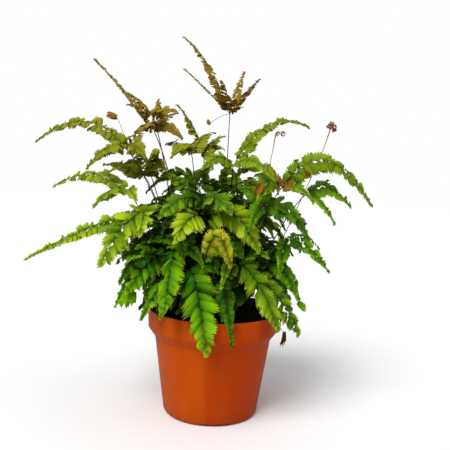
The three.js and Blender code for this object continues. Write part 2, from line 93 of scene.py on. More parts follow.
# ---------------------------------------------------------------- fern
CROWN_RADIUS = 36
PLANTING_DEPTH = 12
STALK_RADIUS = 0.9
HUB_RADIUS = 2.8
STALK_GAP = 0.35
UP_FIRST = (0.12, 0.6)
LEAN_FIRST = (0.4, 0.9)
BEND_HEIGHTS = (0.4, 0.82)
LEAST_FOOT = 0.25
AIM_FOOT = 0.3
BARE_RIB = 7
LEAFLET_DROOP = math.radians(14)
SHORTEST_PINNA = 26
BASE_WIDTH = 0.35
WIDENING = 42
TIP_FULLNESS = 1.25
TIP_POWER = 0.6
ARCH_PLACE = 0.45
LEAN_OUT = 0.8
LEAN_BACK = 0.35
LEAST_FLAT = 0.01
FACING = 0.55
UP = np.array([0.0, 0.0, 1.0])


def frond(name, tone, hub, half_width, *pinnae, facing=FACING):
    """A frond: its colour, the hub its pinnae fan out from, and for each pinna its tip's x, y and
    z, how high it arches, and where it differs its own half width."""
    return {"name": name, "tone": tone, "hub": np.array(hub, float), "half_width": half_width,
            "pinnae": pinnae, "facing": facing, "laid": []}


FRONT_FRONDS = [
    frond("front_center", "green", (-23, -42, 138), 14,
          (-3, -86, 76, 30), (12, -58, 116, 16, 7), facing=0.9),
    frond("front_bright", "lime", (-10, -25, 175), 12,
          (36, -62, 157, 40), (-32, -76, 164, 26), (16, -82, 150, 18, 5), facing=1.2),
    frond("left_bright", "lime", (-59, -22, 183), 13,
          (-168, -12, 136, 12, 8), (-95, -60, 139, 24), (-60, -76, 168, 22, 10), facing=1.2),
    frond("front_left", "green", (-34, -36, 152), 12,
          (-38, -84, 109, 24, 10.5), (-60, -70, 116, 20, 11), (-14, -60, 126, 18, 7), facing=0.9),
    frond("front_right", "lime", (15, -38, 144), 11,
          (50, -80, 96, 26), (74, -52, 86, 26), (6, -72, 120, 16, 6), facing=0.9),
    frond("right_big", "green", (54, -14, 207), 9.5,
          (136, -16, 195, 66), (32, -62, 197, 28), (8, 18, 212, 38), (86, -34, 198, 16, 5), facing=1.1),
    frond("left_arch", "gold", (-82, -5, 235), 7,
          (-169, 5, 239, 46), (-112, -38, 218, 22, 8), (-60, 26, 262, 12, 7.5), (-62, -42, 230, 14),
          (-98, 34, 258, 10), facing=1.1),
    frond("right_arch", "green", (12, -12, 226), 7.5,
          (79, -6, 262, 42), (-14, -48, 222, 18), (46, -60, 216, 20), facing=0.9),
    frond("crown_top", "bronze", (7, 12, 273), 6.5,
          (-39, 14, 341, 22), (-39, 44, 317, 2), (32, -10, 303, 5), (16, 40, 316, 2, 5),
          (-2, -24, 298, 10)),
    frond("upper_left", "bronze", (-64, 16, 258), 6.5,
          (-119, 14, 318, 6), (-44, 50, 275, 6), (-34, -10, 248, 12), (-84, -22, 250, 10), facing=0.9),
    frond("right_mid", "green", (78, -2, 203), 9,
          (120, -4, 193, 24), (101, -34, 180, 14, 5), (72, 44, 212, 12, 6), facing=1.0),
    frond("right_front", "dark", (40, -40, 192), 9.5,
          (74, -70, 171, 24), (47, -80, 176, 16, 6), (16, -24, 206, 14), facing=0.9),
    frond("front_mid", "dark", (28, -22, 160), 10.5,
          (50, -64, 146, 14, 7), (26, -76, 122, 24), (-2, -62, 142, 18), facing=0.9),
    frond("center_gold", "gold", (-26, 0, 235), 8,
          (-40, -48, 230, 18), (-56, 24, 243, 12), (-6, 22, 256, 12), (-28, 54, 248, 12), facing=1.0),
    frond("left_low", "lime", (-81, -15, 201), 8,
          (-154, 10, 199, 26), (-103, -50, 187, 14), (-84, -46, 194, 6, 6), facing=0.9),
    frond("left_under", "green", (-63, -15, 146), 10,
          (-78, -44, 122, 14, 8), (-56, -46, 104, 18, 8), (-100, -26, 140, 12, 7),
          (-86, 22, 122, 18), facing=0.9),
    frond("right_low", "green", (63, -6, 161), 7,
          (101, -22, 136, 16), (108, 12, 150, 16, 4.5), (54, -48, 134, 14), facing=0.9),
    frond("right_side", "green", (46, -22, 147), 9.5,
          (66, -46, 122, 14, 8), (77, 0, 106, 20, 8), facing=0.9),
    frond("center_dark", "dark", (4, -44, 130), 7,
          (13, -84, 83, 20, 6), (-12, -70, 116, 14), facing=0.9),
    frond("left_gold", "gold", (-70, 22, 212), 8,
          (-112, 30, 222, 10), (-88, 66, 214, 16), (-66, 60, 210, 14), facing=1.0),
    frond("center", "green", (-16, -14, 192), 10,
          (-53, 2, 220, 8, 7), (-46, -62, 182, 20), (12, -62, 188, 18), (-70, -46, 176, 20), facing=0.9),
]

# The fronds behind the crown stand in layers: name, colour, headings, distance from the pot's
# axis, height, drop to the tips, half width.
BACK_LAYERS = [
    ("back_high", "green", (58, 122), 36, 206, 26, 8),
    ("back_mid", "lime", (62, 104, 148), 50, 182, 34, 9),
    ("back_low", "dark", (72, 124), 60, 146, 46, 10),
]
BACK_FAN = (0, 36, -36, 76, -76)
BACK_REACH = 80
BACK_SIDE_REACH = 0.65
BACK_ARCH = 34

# The coiled young fronds: name, where the coil's stem ends, the coil's radius.
CROZIERS = [
    ("crozier_back", (51, 30, 258), 4.5),
    ("crozier_right", (101, 24, 264), 5),
]
COIL_TURNS = 1.3
COIL_INNER = 0.4
COIL_STEPS = 48
CROZIER_SAMPLES = 61

# The space map that keeps the fronds clear of each other.
CELL = 2.4
SAMPLE = 1
ROUNDING = 1e-9
MAP_CELLS = 400
MAP_EDGE = 480.7
FREE = -1
OWN_HUB_REACH = 2.5
POT_CLEARANCE = 4
SWINGS = (0, 6, -6, 12, -12, 20, -20, 30, -30)
LIFTS = (0, 8, -8, 16, -16, 26)
FOOT_TURNS = (0, 10, -10, 20, -20, 32, -32, 45, -45, 60, -60, 80, -80, 100, -100)
FOOT_SHARES = (1, 0.8, 1.25, 0.6, 1.5)
LENGTH_STEPS = 60
STALK_LENGTH_STEPS = 200

# Short inner fronds fill the crown and show only between the others. They are spread by the
# golden angle, the highest in the middle.
INNER_FRONDS = 30
INNER_TURN = math.radians(137.5)
INNER_RADII = (14, 52)
INNER_HEIGHTS = (186, 114)
INNER_MIDDLE = (-10, 6, 0)
INNER_FAN = (0, 58, -58, 116, -116)
INNER_FAN_SPREAD = 22
INNER_REACHES = (30, 50)
INNER_DROPS = (-14, 18)
INNER_ARCH = 16
INNER_HALF_WIDTHS = (8.6, 11)
INNER_FRONT = -50
INNER_FLARE = 0.8
INNER_FOOT = 0.5
INNER_FACING = 0.4
INNER_GREEN_EACH = 3

# Small fronds at the rim and among the upper ones.
SMALL_FRONDS = [
    frond("small_rim_left", "green", (-34, -40, 132), 9.5,
          (-28, -78, 110, 14), (-46, -70, 112, 14), (-14, -72, 110, 12), facing=0.9),
    frond("small_rim_middle", "dark", (-2, -34, 124), 9,
          (-8, -66, 100, 12), (-24, -58, 108, 12), facing=0.9),
    frond("small_left", "green", (-62, -22, 140), 9,
          (-70, -52, 118, 12), (-52, -60, 118, 12), (-84, -22, 124, 12), facing=0.9),
    frond("small_upper_left", "bronze", (-62, 10, 266), 6,
          (-84, -8, 276, 6), (-40, -4, 272, 8), (-72, 30, 286, 6), (-50, -24, 262, 8), (-88, 16, 262, 8)),
    frond("small_gold", "gold", (-66, 6, 222), 7.5,
          (-96, -12, 216, 12), (-44, -18, 220, 10), (-58, -40, 208, 12), (-86, 30, 226, 8)),
    frond("small_middle", "gold", (-16, 18, 240), 6.5,
          (6, 4, 256, 8), (-34, -2, 254, 8), (4, 34, 262, 6), (-14, -20, 238, 10)),
]

# ---------------------------------------------------------------- fine foliage
# A leaflet is 1 long and 1 wide until it is planted.
LEAF_COLUMNS = 6
LEAF_ROWS = 3
LEAF_THICKNESS = 0.03
SAME_PLACE = 0.01
# How far each point of its end stands out or in, from its hubward to its tipward corner.
TEETH = (-0.36, 0.0, -0.19, 0.09, -0.1, 0.14, -0.2)
SIDE_TOOTH = 0.1
TOOTH_ROOM = 0.16
# Each kind of leaflet: how deep its teeth are, how far it is cupped, how far its end curls and how
# wide its end is.
LEAFLET_KINDS = [(0.9, 0.12, 0.12, 1.0), (1.2, 0.2, 0.26, 0.78), (0.6, 0.06, 0.05, 1.12),
                 (1.0, -0.12, 0.3, 0.66), (1.3, 0.24, 0.1, 0.92)]
CREASE = 35

# Wide pinnae carry broad leaflets, and slim ones carry fans. Of each family:
# rows: from its stalk to its teeth, how far out, how wide and how far off to its tipward side;
# stretch: how far leaflets reach, for the blade's half width;
# tip: how full the pinna stays towards its tip, and the power by which it narrows;
# pitch: the distance between two leaflets on one side, and what their reach adds to it;
# fill: how wide a leaflet is for its pitch;
# lean: how far it leans to the tip by the hub.
FAMILIES = {
    "broad": {
        "rows": ((0, 0.66, -0.12), (0.3, 0.98, -0.05), (0.66, 1.0, 0.0), (0.93, 0.76, 0.06)),
        "stretch": 1.18, "tip": (1.55, 0.52), "pitch": (2.2, 0.35), "fill": 1.04,
        "lean": math.radians(12)},
    "fan": {
        "rows": ((0, 0.45, -0.1), (0.34, 0.95, -0.03), (0.7, 1.12, 0.02), (0.94, 0.8, 0.04)),
        "stretch": 1.3, "tip": (1.5, 0.85), "pitch": (1.5, 0.42), "fill": 1.45,
        "lean": math.radians(14)},
}
SLIM_HALF_WIDTH = 9.6
FINE_BASE_WIDTH = 0.6
FINE_WIDENING = 34
TIP_LEAN = math.radians(30)
LEAN_LENGTH = 0.8
SHINGLE = math.radians(12)

# Where leaflets stand. The first four are shares of their pitch: how far back each is rooted, how
# far ahead its length is read, how short it may be, and the room that is left before the tip.
ROOT_BACK = 0.4
READ_AHEAD = 0.5
SHORTEST_LEAFLET = 0.8
TIP_ROOM = 0.6
FIRST_LEAFLET = BARE_RIB * 0.7
LAST_READ = 0.99

# How leaflets differ from one another: the ranges of their length and width, and the spreads of
# their lean, droop and twist in degrees, of their shade and of their age.
LENGTH_RANGE = (0.84, 1.1)
WIDTH_RANGE = (0.9, 1.14)
LEAN_SPREAD = 6
DROOP_SPREAD = 14
TWIST_SPREAD = 14
SHADE_SPREAD = 0.22
AGE_SPREAD = 0.2
PINNA_TINTS = (-0.18, 0.18)
# Leaflets are lighter and older towards the tip. A browned one has the age 1.
MIDDLE_SHADE = 0.5
SHADE_GAIN = 0.5
MIDDLE_SHARE = 0.42
DARKEST = 0.1
AGE_GAIN = 0.7
OLDEST_GREEN = 0.9
BROWNED = 1

# The leaflet at a pinna's end.
END_PLACE = 0.98
END_LENGTH = 3.5
END_PITCHES = 1.4
END_WIDTH = 0.75
END_BACK = 0.6
END_DROOP = math.radians(10)
END_SHADE = 0.6
END_AGE = 0.8

RIB_LIFT = 0.15
RIB_RADIUS = 0.34
RIB_END_RADIUS = 0.12
RIB_END = 0.985
RIB_STEPS = 16
STIPE_RADIUS = 0.6
STIPE_END_RADIUS = 0.42
STIPE_STEPS = 28
WIRE_SIDES = 6
WELD = 0.01

# How far from the hub the leaflets of some fronds have turned brown.
SCORCHED = {"right_big": 15, "upper_left": 12, "crown_top": 14}
# How much lighter or darker the leaflets of some fronds are than others of their tone. Partly painted
# light: the inner fronds and front_right are darkened as painted shade of the crown, and left_gold, which
# faces away from the lamps, is lightened as painted light.
TONE_AND_PAINTED_LIGHT = {
    "front_right": -0.3, "center": -0.3, "front_left": -0.05, "left_arch": 0.1, "left_gold": 0.4,
    "right_low": 0.15, "right_side": -0.15, "right_mid": 0.15, "right_front": 0.15,
    "right_big": 0.15, "front_bright": 0.18, "left_bright": 0.15, "left_under": 0.15,
    "small_left": 0.15, "front_center": 0.05, "front_mid": -0.3, "center_dark": -0.1,
    "curled": 0.2, "inner": -0.4, "small_middle": 0.2, "small_gold": 0.3,
}
# Some pinnae, by frond and number, carry shorter leaflets than their width allows.
SHORTENED = {("crown_top", 1): 0.2, ("upper_left", 0): 0.4, ("front_right", 2): 0.75,
             ("left_bright", 0): 0.88, ("left_low", 0): 0.8, ("right_arch", 0): 0.85}

# The curled end of a pinna in front: where it starts and ends, and how high it arches.
CURLED_HUB = (-8, -76, 152)
CURLED_TIP = (13, -78, 146)
CURLED_ARCH = 44
CURLED_HALF_WIDTH = 6.5
CURLED_FACING = 2.4
CURLED_CROWDING = 1.7

# Single leaflets: the frond they hang from, their place, which way they point, their length and
# width, and their age. Each is planted twice, twisted apart as if folded, and narrow ones are darker.
LOOSE_LEAFLETS = [
    ("left_arch", (-96, 10, 266), (-1, 0, 0.1), 10, 6, BROWNED),
    ("right_big", (34, -54, 213), (-0.2, -0.3, -1), 11, 7, BROWNED),
    ("right_big", (74, -22, 224), (0.8, 0, -0.6), 8, 4, BROWNED),
    ("front_right", (60, -44, 87), (0.05, 0, -1), 13, 3.4, BROWNED),
    ("crown_top", (-11, 20, 264), (-0.6, 0, 0.5), 5, 3, BROWNED),
    ("left_under", (-71, -45, 117), (-0.15, -0.2, -1), 14, 11, 0.2),
    ("right_side", (72, -40, 112), (0.8, 0, -0.5), 10, 5, 0.3),
]
LOOSE_FACING = (0, -1, 0.4)
LOOSE_TWIST = 0.5
LOOSE_ROOT = 0.5
LOOSE_STALK_RISE = 0.15

# The young fronds' heads: for each curled tip, its lean from upright in degrees, its stalk and its
# coil.
HEADS = {
    "crozier_right": [(-55, 2.6, 1.2), (-8, 4.2, 1.7), (36, 3.8, 2.0), (80, 3.6, 1.3)],
    "crozier_back": [(34, 1.4, 2.0), (72, 8.0, 2.6)],
}
HEAD_TURNS = 1.2
HEAD_STEPS = 26
HEAD_STALK_STEPS = 5
HEAD_CLOSING = 0.65
# Radii of a curled tip and of the stem: at which shares of the way, and the radii there.
HEAD_RADII = ((0, 0.3, 1), (0.4, 0.5, 0.3))
STEM_RADII = ((0, 0.85, 1), (0.5, 0.3, 0.6))
BUD_START = {"crozier_right": 4, "crozier_back": 18}
BUD_STEP = 2
BUD_LENGTH = 2.0
BUD_LENGTHS = (0.6, 1.1)
BUD_WIDTH = 0.8
BUD_LEAN = 0.3
BUD_OPENING = (0.2, 1.4)
BUD_DROOPS = (-0.6, 0.6)
BUD_TWISTS = (-0.8, 0.8)


# ---------------------------------------------------------------- where the fern's parts run
def unit(vector):
    return vector / np.linalg.norm(vector)


def polar(radius, heading, height=0):
    """A place at a distance and a heading, in radians, from the upright axis."""
    return np.array([radius * math.cos(heading), radius * math.sin(heading), height])


def quadratic(hub, control, tip, t):
    t = np.asarray(t, float)[..., None]
    return hub * (1 - t) ** 2 + control * 2 * t * (1 - t) + tip * t ** 2


def cubic(points, t):
    t = np.asarray(t, float)[..., None]
    first, second, third, last = points
    ends = first * (1 - t) ** 3 + last * t ** 3
    return ends + second * 3 * t * (1 - t) ** 2 + third * 3 * t ** 2 * (1 - t)


def travelled(points):
    """The distance run along a line of points, at each of them."""
    steps = np.linalg.norm(np.diff(points, axis=0), axis=1)
    return np.concatenate([[0], np.cumsum(steps)])


class Pinna:
    """A curve from the hub to its tip, along which leaflets stand on both sides."""

    def __init__(self, hub, tip, arch, half_width, facing):
        self.hub = hub
        self.tip = tip
        self.control = hub + (tip - hub) * ARCH_PLACE + UP * arch
        self.half_width = half_width
        self.family = "fan" if half_width <= SLIM_HALF_WIDTH else "broad"
        self.facing = facing
        self.out = unit(tip * (1, 1, 0))
        self.steps = np.linspace(0, 1, LENGTH_STEPS + 1)
        self.distances = travelled(quadratic(hub, self.control, tip, self.steps))
        self.length = self.distances[-1]

    def frames(self, distance):
        """The points at distances along the rib, with tangents, blade normals and sides."""
        t = np.interp(distance, self.distances, self.steps)
        point = quadratic(self.hub, self.control, self.tip, t)
        t = t[..., None]
        tangent = (self.control - self.hub) * (1 - t) + (self.tip - self.control) * t
        tangent /= np.linalg.norm(tangent, axis=-1, keepdims=True)
        flat = tangent * (1, 1, 0)
        flat_length = np.maximum((flat ** 2).sum(-1, keepdims=True), LEAST_FLAT)
        aside = self.out - flat * (flat @ self.out)[..., None] / flat_length
        normal = UP + aside * LEAN_OUT - self.out * tangent[..., 2:] * LEAN_BACK
        normal[..., 1] -= self.facing
        normal -= tangent * (normal * tangent).sum(-1, keepdims=True)
        normal /= np.linalg.norm(normal, axis=-1, keepdims=True)
        return point, tangent, normal, np.cross(normal, tangent)

    def frame(self, distance):
        """The same at one distance."""
        return (values[0] for values in self.frames(np.array([distance])))

    def half_width_at(self, distance):
        share = np.minimum(distance / self.length, 1)
        base = np.minimum(1, BASE_WIDTH + distance / WIDENING)
        taper = np.minimum(1, TIP_FULLNESS * (1 - share) ** TIP_POWER)
        return self.half_width * base * taper

    def leaf_reach(self, distance):
        """How far leaflets reach from the rib. It is fuller by the hub than the blade is."""
        share = min(distance / self.length, 1)
        base = min(1, FINE_BASE_WIDTH + distance / FINE_WIDENING)
        family = FAMILIES[self.family]
        fullness, power = family["tip"]
        taper = min(1, fullness * (1 - share) ** power)
        return self.half_width * family["stretch"] * base * taper

    def rows(self, start):
        """Sample points over the blade from a distance to its tip, and each point's distance."""
        distance = np.arange(start, self.length + ROUNDING, SAMPLE)
        half = self.half_width_at(distance)
        counts = np.maximum(np.ceil(half / SAMPLE), 1).astype(int)
        row = np.repeat(np.arange(len(distance)), counts * 2 + 1)
        across = np.concatenate([np.linspace(-1, 1, count * 2 + 1) for count in counts])
        offset = half[row] * across
        point, _, normal, side = (values[row] for values in self.frames(distance))
        point = point + side * (offset * math.cos(LEAFLET_DROOP))[:, None]
        point = point - normal * (np.abs(offset) * math.sin(LEAFLET_DROOP))[:, None]
        return point, distance[row]


class SpaceMap:
    """Which frond has each small cube of the space round the plant."""

    def __init__(self):
        self.owners = np.full((MAP_CELLS,) * 3, FREE, np.int16)

    def cells(self, points):
        return np.floor((points + MAP_EDGE) / CELL).astype(int)

    def owner_at(self, points):
        i, j, k = self.cells(points).T
        return self.owners[i, j, k]

    def take(self, points, owner):
        for shift in itertools.product((-1, 0, 1), repeat=3):
            i, j, k = (self.cells(points) + shift).T
            held = self.owners[i, j, k]
            self.owners[i, j, k] = np.where(held == FREE, owner, held)

    def clear(self, pinna, owner):
        """Which sample points of a pinna are clear of the pot and of other fronds, and how far
        along the rib each one is."""
        points, distance = pinna.rows(BARE_RIB)
        held = self.owner_at(points)
        own_hub = distance < OWN_HUB_REACH * pinna.half_width
        clear = (held == FREE) | (own_hub & (held == owner))
        radius = np.hypot(points[:, 0], points[:, 1])
        clear &= (radius >= RIM_RADIUS + POT_CLEARANCE) | (points[:, 2] >= POT_HEIGHT + POT_CLEARANCE)
        return clear, distance

    def clear_length(self, pinna, owner):
        """How far along the pinna every cross row is clear."""
        clear, distance = self.clear(pinna, owner)
        return pinna.length if clear.all() else distance[~clear].min()


def swung(hub, tip, swing, lift):
    """The tip turned round the hub by an angle in degrees, and lifted."""
    x, y, z = tip - hub
    angle = math.radians(swing)
    turned = (x * math.cos(angle) - y * math.sin(angle), x * math.sin(angle) + y * math.cos(angle), z)
    return hub + turned + UP * lift


def lay_pinna(space, owner, frond, row):
    """Swings and lifts a pinna until it is clear of all that is laid before it. Where nothing is
    clear, the longest clear stretch stays."""
    tip = np.array(row[:3], float)
    half_width = row[4] if len(row) > 4 else frond["half_width"]
    best, best_clear = None, 0
    for lift, swing in itertools.product(LIFTS, SWINGS):
        end = swung(frond["hub"], tip, swing, lift)
        pinna = Pinna(frond["hub"], end, row[3], half_width, frond["facing"])
        clear = space.clear_length(pinna, owner)
        if clear > best_clear or clear == pinna.length:
            best, best_clear = pinna, clear
        if clear == pinna.length:
            break
    if best_clear < SHORTEST_PINNA:
        return
    if best_clear < best.length:
        best.length = best_clear - SAMPLE
    space.take(best.rows(0)[0], owner)
    frond["laid"].append(best)


def stalk_points(foot, end, bend):
    """The four points of a stalk's curve."""
    across = (end - foot) * (1, 1, 0)
    height = end[2] - foot[2]
    low, high = (foot + across * share + UP * height * rise for share, rise in zip(bend, BEND_HEIGHTS))
    return foot, low, high, end


def lay_stalk(space, owner, end, bend):
    """Moves a stalk's foot round the crown, and in or out, until the stalk is clear of others."""
    heading = math.atan2(end[1], end[0])
    reach = math.hypot(end[0], end[1]) / (end[2] - SOIL_EDGE)
    foot_radius = CROWN_RADIUS * min(1, LEAST_FOOT + reach * (1 - LEAST_FOOT))
    for turn, share in itertools.product(FOOT_TURNS, FOOT_SHARES):
        foot = polar(foot_radius * share, heading + math.radians(turn), SOIL_EDGE - PLANTING_DEPTH)
        curve = stalk_points(foot, end, bend)
        length = travelled(cubic(curve, np.linspace(0, 1, STALK_LENGTH_STEPS + 1)))[-1]
        centres = cubic(curve, np.linspace(0, 1, math.ceil(length) + 1))
        rim = np.array([(1, 0, 0), (-1, 0, 0), (0, 1, 0), (0, -1, 0)]) * STALK_RADIUS
        samples = (centres[:, None] + rim).reshape(-1, 3)
        if np.isin(space.owner_at(samples), (FREE, owner)).all():
            space.take(samples, owner)
            return curve
    raise ValueError(f"no room for stalk {owner}")


def back_fronds():
    """The layers of fronds behind the crown, which the photo doesn't show."""
    fronds = []
    for name, tone, headings, radius, height, drop, half_width in BACK_LAYERS:
        for number, heading in enumerate(headings, 1):
            middle = math.radians(heading)
            hub = polar(radius, middle, height)
            rows = []
            for turn in BACK_FAN:
                angle = middle + math.radians(turn)
                reach = BACK_REACH * (BACK_SIDE_REACH if turn else 1)
                tip = hub + polar(reach, angle, -drop)
                rows.append((*tip, BACK_ARCH))
            fronds.append(frond(f"{name}_{number}", tone, hub, half_width, *rows, facing=0))
    return fronds


def inner_fronds():
    """The short fronds inside the crown, kept off its front and within a cone over the rim."""
    draw = random.Random(SEED)
    fronds = []
    for i in range(INNER_FRONDS):
        share = (i + 0.5) / INNER_FRONDS
        heading = i * INNER_TURN
        radius = np.interp(math.sqrt(share), [0, 1], INNER_RADII)
        hub = polar(radius, heading, np.interp(share, [0, 1], INNER_HEIGHTS)) + INNER_MIDDLE
        rows = []
        for turn in INNER_FAN:
            angle = heading + math.radians(turn + draw.uniform(-1, 1) * INNER_FAN_SPREAD)
            reach = draw.uniform(*INNER_REACHES)
            tip = hub + polar(reach, angle, -draw.uniform(*INNER_DROPS))
            tip[1] = max(tip[1], INNER_FRONT)
            widest = RIM_RADIUS + INNER_FLARE * (tip[2] - POT_HEIGHT)
            tip[:2] *= min(1, widest / np.linalg.norm(tip[:2]))
            rows.append((*tip, INNER_ARCH))
        # Two in three inner fronds take the dark tone, partly painted shade of the crown's inside.
        tone = "dark" if i % INNER_GREEN_EACH else "green"
        width = draw.uniform(*INNER_HALF_WIDTHS)
        fronds.append(frond(f"inner_{i + 1}", tone, hub, width, *rows, facing=INNER_FACING))
    return fronds


def lay_inner(space, owner, frond):
    """Gives a small or inner frond its stalk, and swings and lifts each pinna to where most of it
    is clear."""
    hub = frond["hub"]
    foot = np.array([hub[0] * INNER_FOOT, hub[1] * INNER_FOOT, SOIL_EDGE - PLANTING_DEPTH])
    frond["stalk"] = stalk_points(foot, hub, UP_FIRST)
    for row in frond["pinnae"]:
        tip = np.array(row[:3])
        choices = []
        for lift, swing in itertools.product(LIFTS, SWINGS):
            end = swung(hub, tip, swing, lift)
            pinna = Pinna(hub, end, row[3], frond["half_width"], frond["facing"])
            choices.append((space.clear(pinna, owner)[0].mean(), pinna))
        best = max(choices, key=lambda choice: choice[0])[1]
        space.take(best.rows(0)[0], owner)
        frond["laid"].append(best)


def coil_path(curve, top, coil):
    """A crozier's line: up its stem and round its coil."""
    top = np.array(top, float)
    stem = cubic(curve, np.linspace(0, 1, STALK_LENGTH_STEPS + 1))
    share = np.arange(1, COIL_STEPS + 1)[:, None] / COIL_STEPS
    angle = math.pi - share * COIL_TURNS * 2 * math.pi
    radius = coil * (1 - (1 - COIL_INNER) * share)
    lean = unit(top * (1, 1, 0))
    turns = top + lean * (coil + radius * np.cos(angle)) + UP * radius * np.sin(angle)
    return np.concatenate([stem, turns])


def spaced(points, count):
    """Points at even distances along a line of points."""
    along = travelled(points)
    places = np.linspace(0, along[-1], count)
    return np.stack([np.interp(places, along, points[:, axis]) for axis in range(3)], axis=1)


def lay_fern():
    """Lays all stalks, croziers and pinnae, each clear of the ones before it, and then the small
    and inner fronds, which may touch others."""
    space = SpaceMap()
    fronds = FRONT_FRONDS + back_fronds()
    for owner, leafy in enumerate(fronds):
        hub = leafy["hub"]
        foot = np.array([hub[0] * AIM_FOOT, hub[1] * AIM_FOOT, SOIL_EDGE])
        away = unit(hub - stalk_points(foot, hub, UP_FIRST)[2])
        end = hub - away * (HUB_RADIUS + STALK_GAP)
        leafy["stalk"] = lay_stalk(space, owner, end, UP_FIRST)
    croziers = {}
    for owner, (name, top, coil) in enumerate(CROZIERS, len(fronds)):
        croziers[name] = lay_stalk(space, owner, np.array(top, float), LEAN_FIRST)
        space.take(spaced(coil_path(croziers[name], top, coil), CROZIER_SAMPLES), owner)
    for owner, leafy in enumerate(FRONT_FRONDS):
        for row in leafy["pinnae"]:
            lay_pinna(space, owner, leafy, row)
    for rank in range(len(BACK_FAN)):
        for owner in range(len(FRONT_FRONDS), len(fronds)):
            lay_pinna(space, owner, fronds[owner], fronds[owner]["pinnae"][rank])
    inner = SMALL_FRONDS + inner_fronds()
    for owner, leafy in enumerate(inner, len(fronds) + len(CROZIERS)):
        lay_inner(space, owner, leafy)
    return fronds, croziers, inner


# ---------------------------------------------------------------- modelling by hand
def deselect():
    if bpy.context.mode != "OBJECT":
        bpy.ops.object.mode_set(mode="OBJECT")
    bpy.ops.object.select_all(action="DESELECT")


def choose(piece):
    """Selects one piece alone and makes it the active one."""
    deselect()
    piece.select_set(True)
    bpy.context.view_layer.objects.active = piece


def placed(name, data):
    """A new object in the scene."""
    made = bpy.data.objects.new(name, data)
    bpy.context.collection.objects.link(made)
    return made


def begin(add, name, **settings):
    """Adds a primitive by its operator, fixes its place in its mesh and starts to edit it."""
    deselect()
    add(**settings)
    piece = bpy.context.object
    piece.name = name
    bpy.ops.object.transform_apply(location=True, rotation=True, scale=True)
    bpy.ops.object.mode_set(mode="EDIT")
    bpy.ops.mesh.select_mode(type="VERT")
    return piece


def pick(piece, chosen):
    """Selects the vertices whose place passes the test, and nothing else."""
    mesh = bmesh.from_edit_mesh(piece.data)
    for vertex in mesh.verts:
        vertex.select_set(False)
    for vertex in mesh.verts:
        if chosen(vertex.co):
            vertex.select_set(True)
    mesh.select_flush(True)
    bmesh.update_edit_mesh(piece.data)


def apply_modifier(piece, kind, **settings):
    """Adds a modifier, sets it and applies it."""
    choose(piece)
    modifier = piece.modifiers.new(kind.title(), kind)
    for name, value in settings.items():
        setattr(modifier, name, value)
    bpy.ops.object.modifier_apply(modifier=modifier.name)


def smooth(piece, crease):
    """Smooth shading, but for edges sharper than a crease in degrees."""
    choose(piece)
    bpy.ops.object.shade_smooth_by_angle(angle=math.radians(crease))


def turned(name, profile, sides):
    """A closed round body: a disc, extruded and resized from ring to ring of its profile."""
    radius, height = profile[0]
    piece = begin(bpy.ops.mesh.primitive_circle_add, name, vertices=sides, radius=radius * MM,
                  fill_type="NGON", location=(0, 0, height * MM))
    bpy.ops.mesh.select_all(action="SELECT")
    for next_radius, next_height in profile[1:]:
        rise = (0, 0, (next_height - height) * MM)
        bpy.ops.mesh.extrude_region_move(TRANSFORM_OT_translate={"value": rise})
        scale = next_radius / radius
        bpy.ops.transform.resize(value=(scale, scale, 1), center_override=(0, 0, next_height * MM))
        radius, height = next_radius, next_height
    bpy.ops.mesh.select_all(action="SELECT")
    bpy.ops.mesh.normals_make_consistent(inside=False)
    bpy.ops.object.mode_set(mode="OBJECT")
    return piece


def finish_piece(piece, material, slot, *nodes):
    """Gives a piece its material, attaches it to the root body and hides the CAD nodes that it stands for.
    The slot is not used.
    """
    piece.data.materials.clear()
    piece.data.materials.append(material)
    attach(piece, "root")
    if nodes:
        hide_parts(*nodes)


# ---------------------------------------------------------------- material nodes
def srgb(red, green, blue):
    """A colour given as it shows on a screen, as the linear colour that a shader takes."""
    def linear(value):
        return value / 12.92 if value <= 0.04045 else ((value + 0.055) / 1.055) ** 2.4
    return (linear(red), linear(green), linear(blue), 1)


class Net:
    """The nodes of a material, a group or the sky. What goes into one is a value or a socket."""

    def __init__(self, tree):
        self.tree = tree

    def node(self, kind, wires=None, **settings):
        """A new node. Settings are its own properties. Wires are its inputs."""
        made = self.tree.nodes.new("ShaderNode" + kind)
        for name, value in settings.items():
            setattr(made, name, value)
        for key, value in (wires or {}).items():
            if isinstance(value, bpy.types.NodeSocket):
                self.tree.links.new(value, made.inputs[key])
            else:
                made.inputs[key].default_value = value
        return made

    def math(self, operation, *values):
        return self.node("Math", dict(enumerate(values)), operation=operation).outputs[0]

    def times(self, first, second):
        return self.math("MULTIPLY", first, second)

    def plus(self, first, second):
        return self.math("ADD", first, second)

    def blend(self, factor, first, second):
        wires = {0: factor, 6: first, 7: second}
        return self.node("Mix", wires, data_type="RGBA", blend_type="MIX").outputs[2]

    def ranged(self, value, low, high, new_low=0.0, new_high=1.0):
        wires = {0: value, 1: low, 2: high, 3: new_low, 4: new_high}
        return self.node("MapRange", wires).outputs[0]

    def noise(self, place, scale, detail=2.0):
        return self.node("TexNoise", {"Vector": place, "Scale": scale, "Detail": detail}).outputs[0]

    def attribute(self, name):
        return self.node("Attribute", attribute_name=name).outputs["Fac"]

    def place(self):
        """Where on the piece a point lies, in metres."""
        return self.node("TexCoord").outputs["Object"]

    def axes(self, place):
        return self.node("SeparateXYZ", {0: place}).outputs


class Look(Net):
    """A material: the nodes round its Principled shader, and the shader's constant values."""

    def __init__(self, name, **constants):
        self.material = bpy.data.materials.new(name)
        self.material.use_nodes = True
        super().__init__(self.material.node_tree)
        self.shader = self.tree.nodes["Principled BSDF"]
        for label, value in constants.items():
            self.shader.inputs[label.replace("_", " ")].default_value = value

    def wire(self, label, socket):
        self.tree.links.new(socket, self.shader.inputs[label])

    def bump(self, height, distance):
        bump = self.node("Bump", {"Height": height, "Distance": distance})
        self.wire("Normal", bump.outputs["Normal"])


